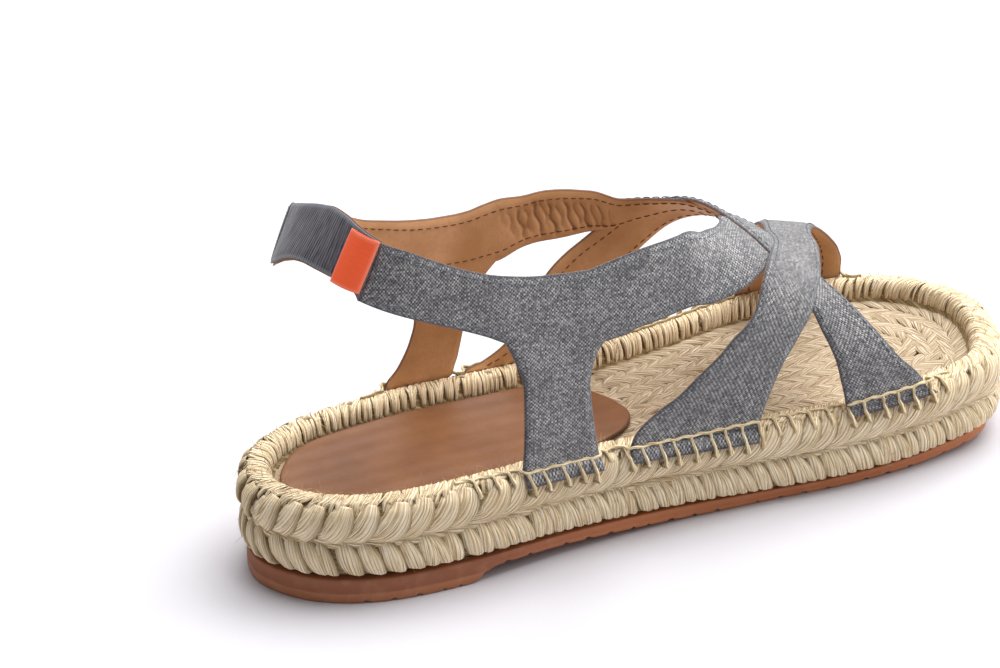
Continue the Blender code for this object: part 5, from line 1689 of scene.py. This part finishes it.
# %% Fuzz
FUZZ_COUNT = 2600
fuzz_rng = np.random.default_rng(5)
fuzz_run = fuzz_rng.random(FUZZ_COUNT) * LOOP_LENGTH
fuzz_level = 0.04 + 1.8 * fuzz_rng.random(FUZZ_COUNT) ** 0.8
root = side_point(fuzz_run, fuzz_level)
root_normal = side_normal(fuzz_run, fuzz_level)
aim = unit(root_normal * 0.35 + fuzz_rng.normal(size=(FUZZ_COUNT, 3)) * 0.8)
curl = unit(fuzz_rng.normal(size=(FUZZ_COUNT, 3)))
fuzz_length = (1.2 + 3.2 * fuzz_rng.random(FUZZ_COUNT) ** 2) * MM
t = np.linspace(0, 1, 5)
fuzz_way = aim[:, None] * t[None, :, None] + curl[:, None] * 0.35 * (t**2)[None, :, None]
fuzz_paths = root[:, None] + fuzz_way * fuzz_length[:, None, None]
fuzz_size = np.broadcast_to(0.075 * MM * (1 - 0.7 * t), fuzz_paths.shape[:2])
fuzz_normals = np.broadcast_to(root_normal[:, None], fuzz_paths.shape)
points, faces, places = sweep(fuzz_paths, fuzz_normals, fuzz_size, fuzz_size, 3)
make_piece("loose_fibres", points, faces, linen_thread, "strand", places, "jute_sole")

# %% [markdown]
# ## Floor, light and camera
# The shoe stands on pale studio paper under broad soft light. A large plane is the paper. It
# is a light grey that the strong overhead light turns white, because real white paper would
# throw too much light back on the shoe's sides. The world gives the even fill, and a smaller
# light beyond the toe the shine. Standard view keeps the hex colours as they were picked.

# %% Floor
FLOOR_REACH = 6.0
paper = new_material("pale studio paper", {"Roughness": 0.9, "IOR": 1.45, "Specular IOR Level": 0.1})
paper_place = add(paper, "ShaderNodeTexCoord").outputs["Object"]
paper_grain = add(paper, "ShaderNodeTexNoise", {0: paper_place, "Scale": 900.0, "Detail": 2.0}).outputs[0]
paper_tone = add(
    paper, "ShaderNodeMix", {0: paper_grain, 6: linear("#cac8cd"), 7: linear("#cdcbcf")}, data_type="RGBA"
)
paper_bump = add(paper, "ShaderNodeBump", {"Strength": 0.03, "Distance": 0.05 * MM, "Height": paper_grain})
wear(paper, paper_tone.outputs[2], paper_bump.outputs[0])
floor_mesh = bpy.data.meshes.new("studio_floor")
floor_corners = [(x * FLOOR_REACH, y * FLOOR_REACH, 0) for x, y in ((-1, -1), (1, -1), (1, 1), (-1, 1))]
floor_mesh.from_pydata(floor_corners, [], [(0, 1, 2, 3)])
floor_mesh.materials.append(paper)
studio_floor = bpy.data.objects.new("studio_floor", floor_mesh)
bpy.context.scene.collection.objects.link(studio_floor)

# %% Light
world = bpy.data.worlds.new("studio")
world.use_nodes = True
world.node_tree.nodes["Background"].inputs[0].default_value = (0.96, 0.97, 1.0, 1.0)
world.node_tree.nodes["Background"].inputs[1].default_value = 0.35
bpy.context.scene.world = world


def soft_light(name, place, aim, size, power):
    """A square area light at a place, turned to a point."""
    data = bpy.data.lights.new(name, "AREA")
    data.shape = "SQUARE"
    data.size = size
    data.energy = power
    light = bpy.data.objects.new(name, data)
    light.location = place
    light.rotation_euler = (Vector(aim) - Vector(place)).to_track_quat("-Z", "Y").to_euler()
    bpy.context.scene.collection.objects.link(light)


soft_light("overhead_softbox", (0.75, 0.35, 2.0), (0, 0, 0.03), 2.5, 112)
soft_light("side_softbox", (1.9, -0.7, 0.9), (0, 0, 0.03), 1.0, 15)
bpy.context.scene.view_settings.view_transform = "Standard"

# %% Camera
# The photo's view was solved from the shoe's own sizes: where it stands, how it is turned,
# and how long the lens is.
CAMERA_AT = Vector((-0.75361, -1.34507, 0.8498))
CAMERA_AIM = Vector((-0.04302, -0.00503, 0.06139))
CAMERA_ROLL = math.radians(-0.447)
CAMERA_LENS = 206.73
ahead = (CAMERA_AIM - CAMERA_AT).normalized()
level = ahead.cross(Vector((0, 0, 1))).normalized()
above_view = level.cross(ahead)
right = level * math.cos(CAMERA_ROLL) + above_view * math.sin(CAMERA_ROLL)
top = right.cross(ahead)
camera_data = bpy.data.cameras.new("photo_camera")
camera_data.lens = CAMERA_LENS
camera_data.sensor_width = 36.0
camera_data.clip_end = 50.0
camera = bpy.data.objects.new("photo_camera", camera_data)
turn = Matrix((right, top, -ahead)).transposed().to_4x4()
camera.matrix_world = Matrix.Translation(CAMERA_AT) @ turn
bpy.context.scene.collection.objects.link(camera)
bpy.context.scene.camera = camera
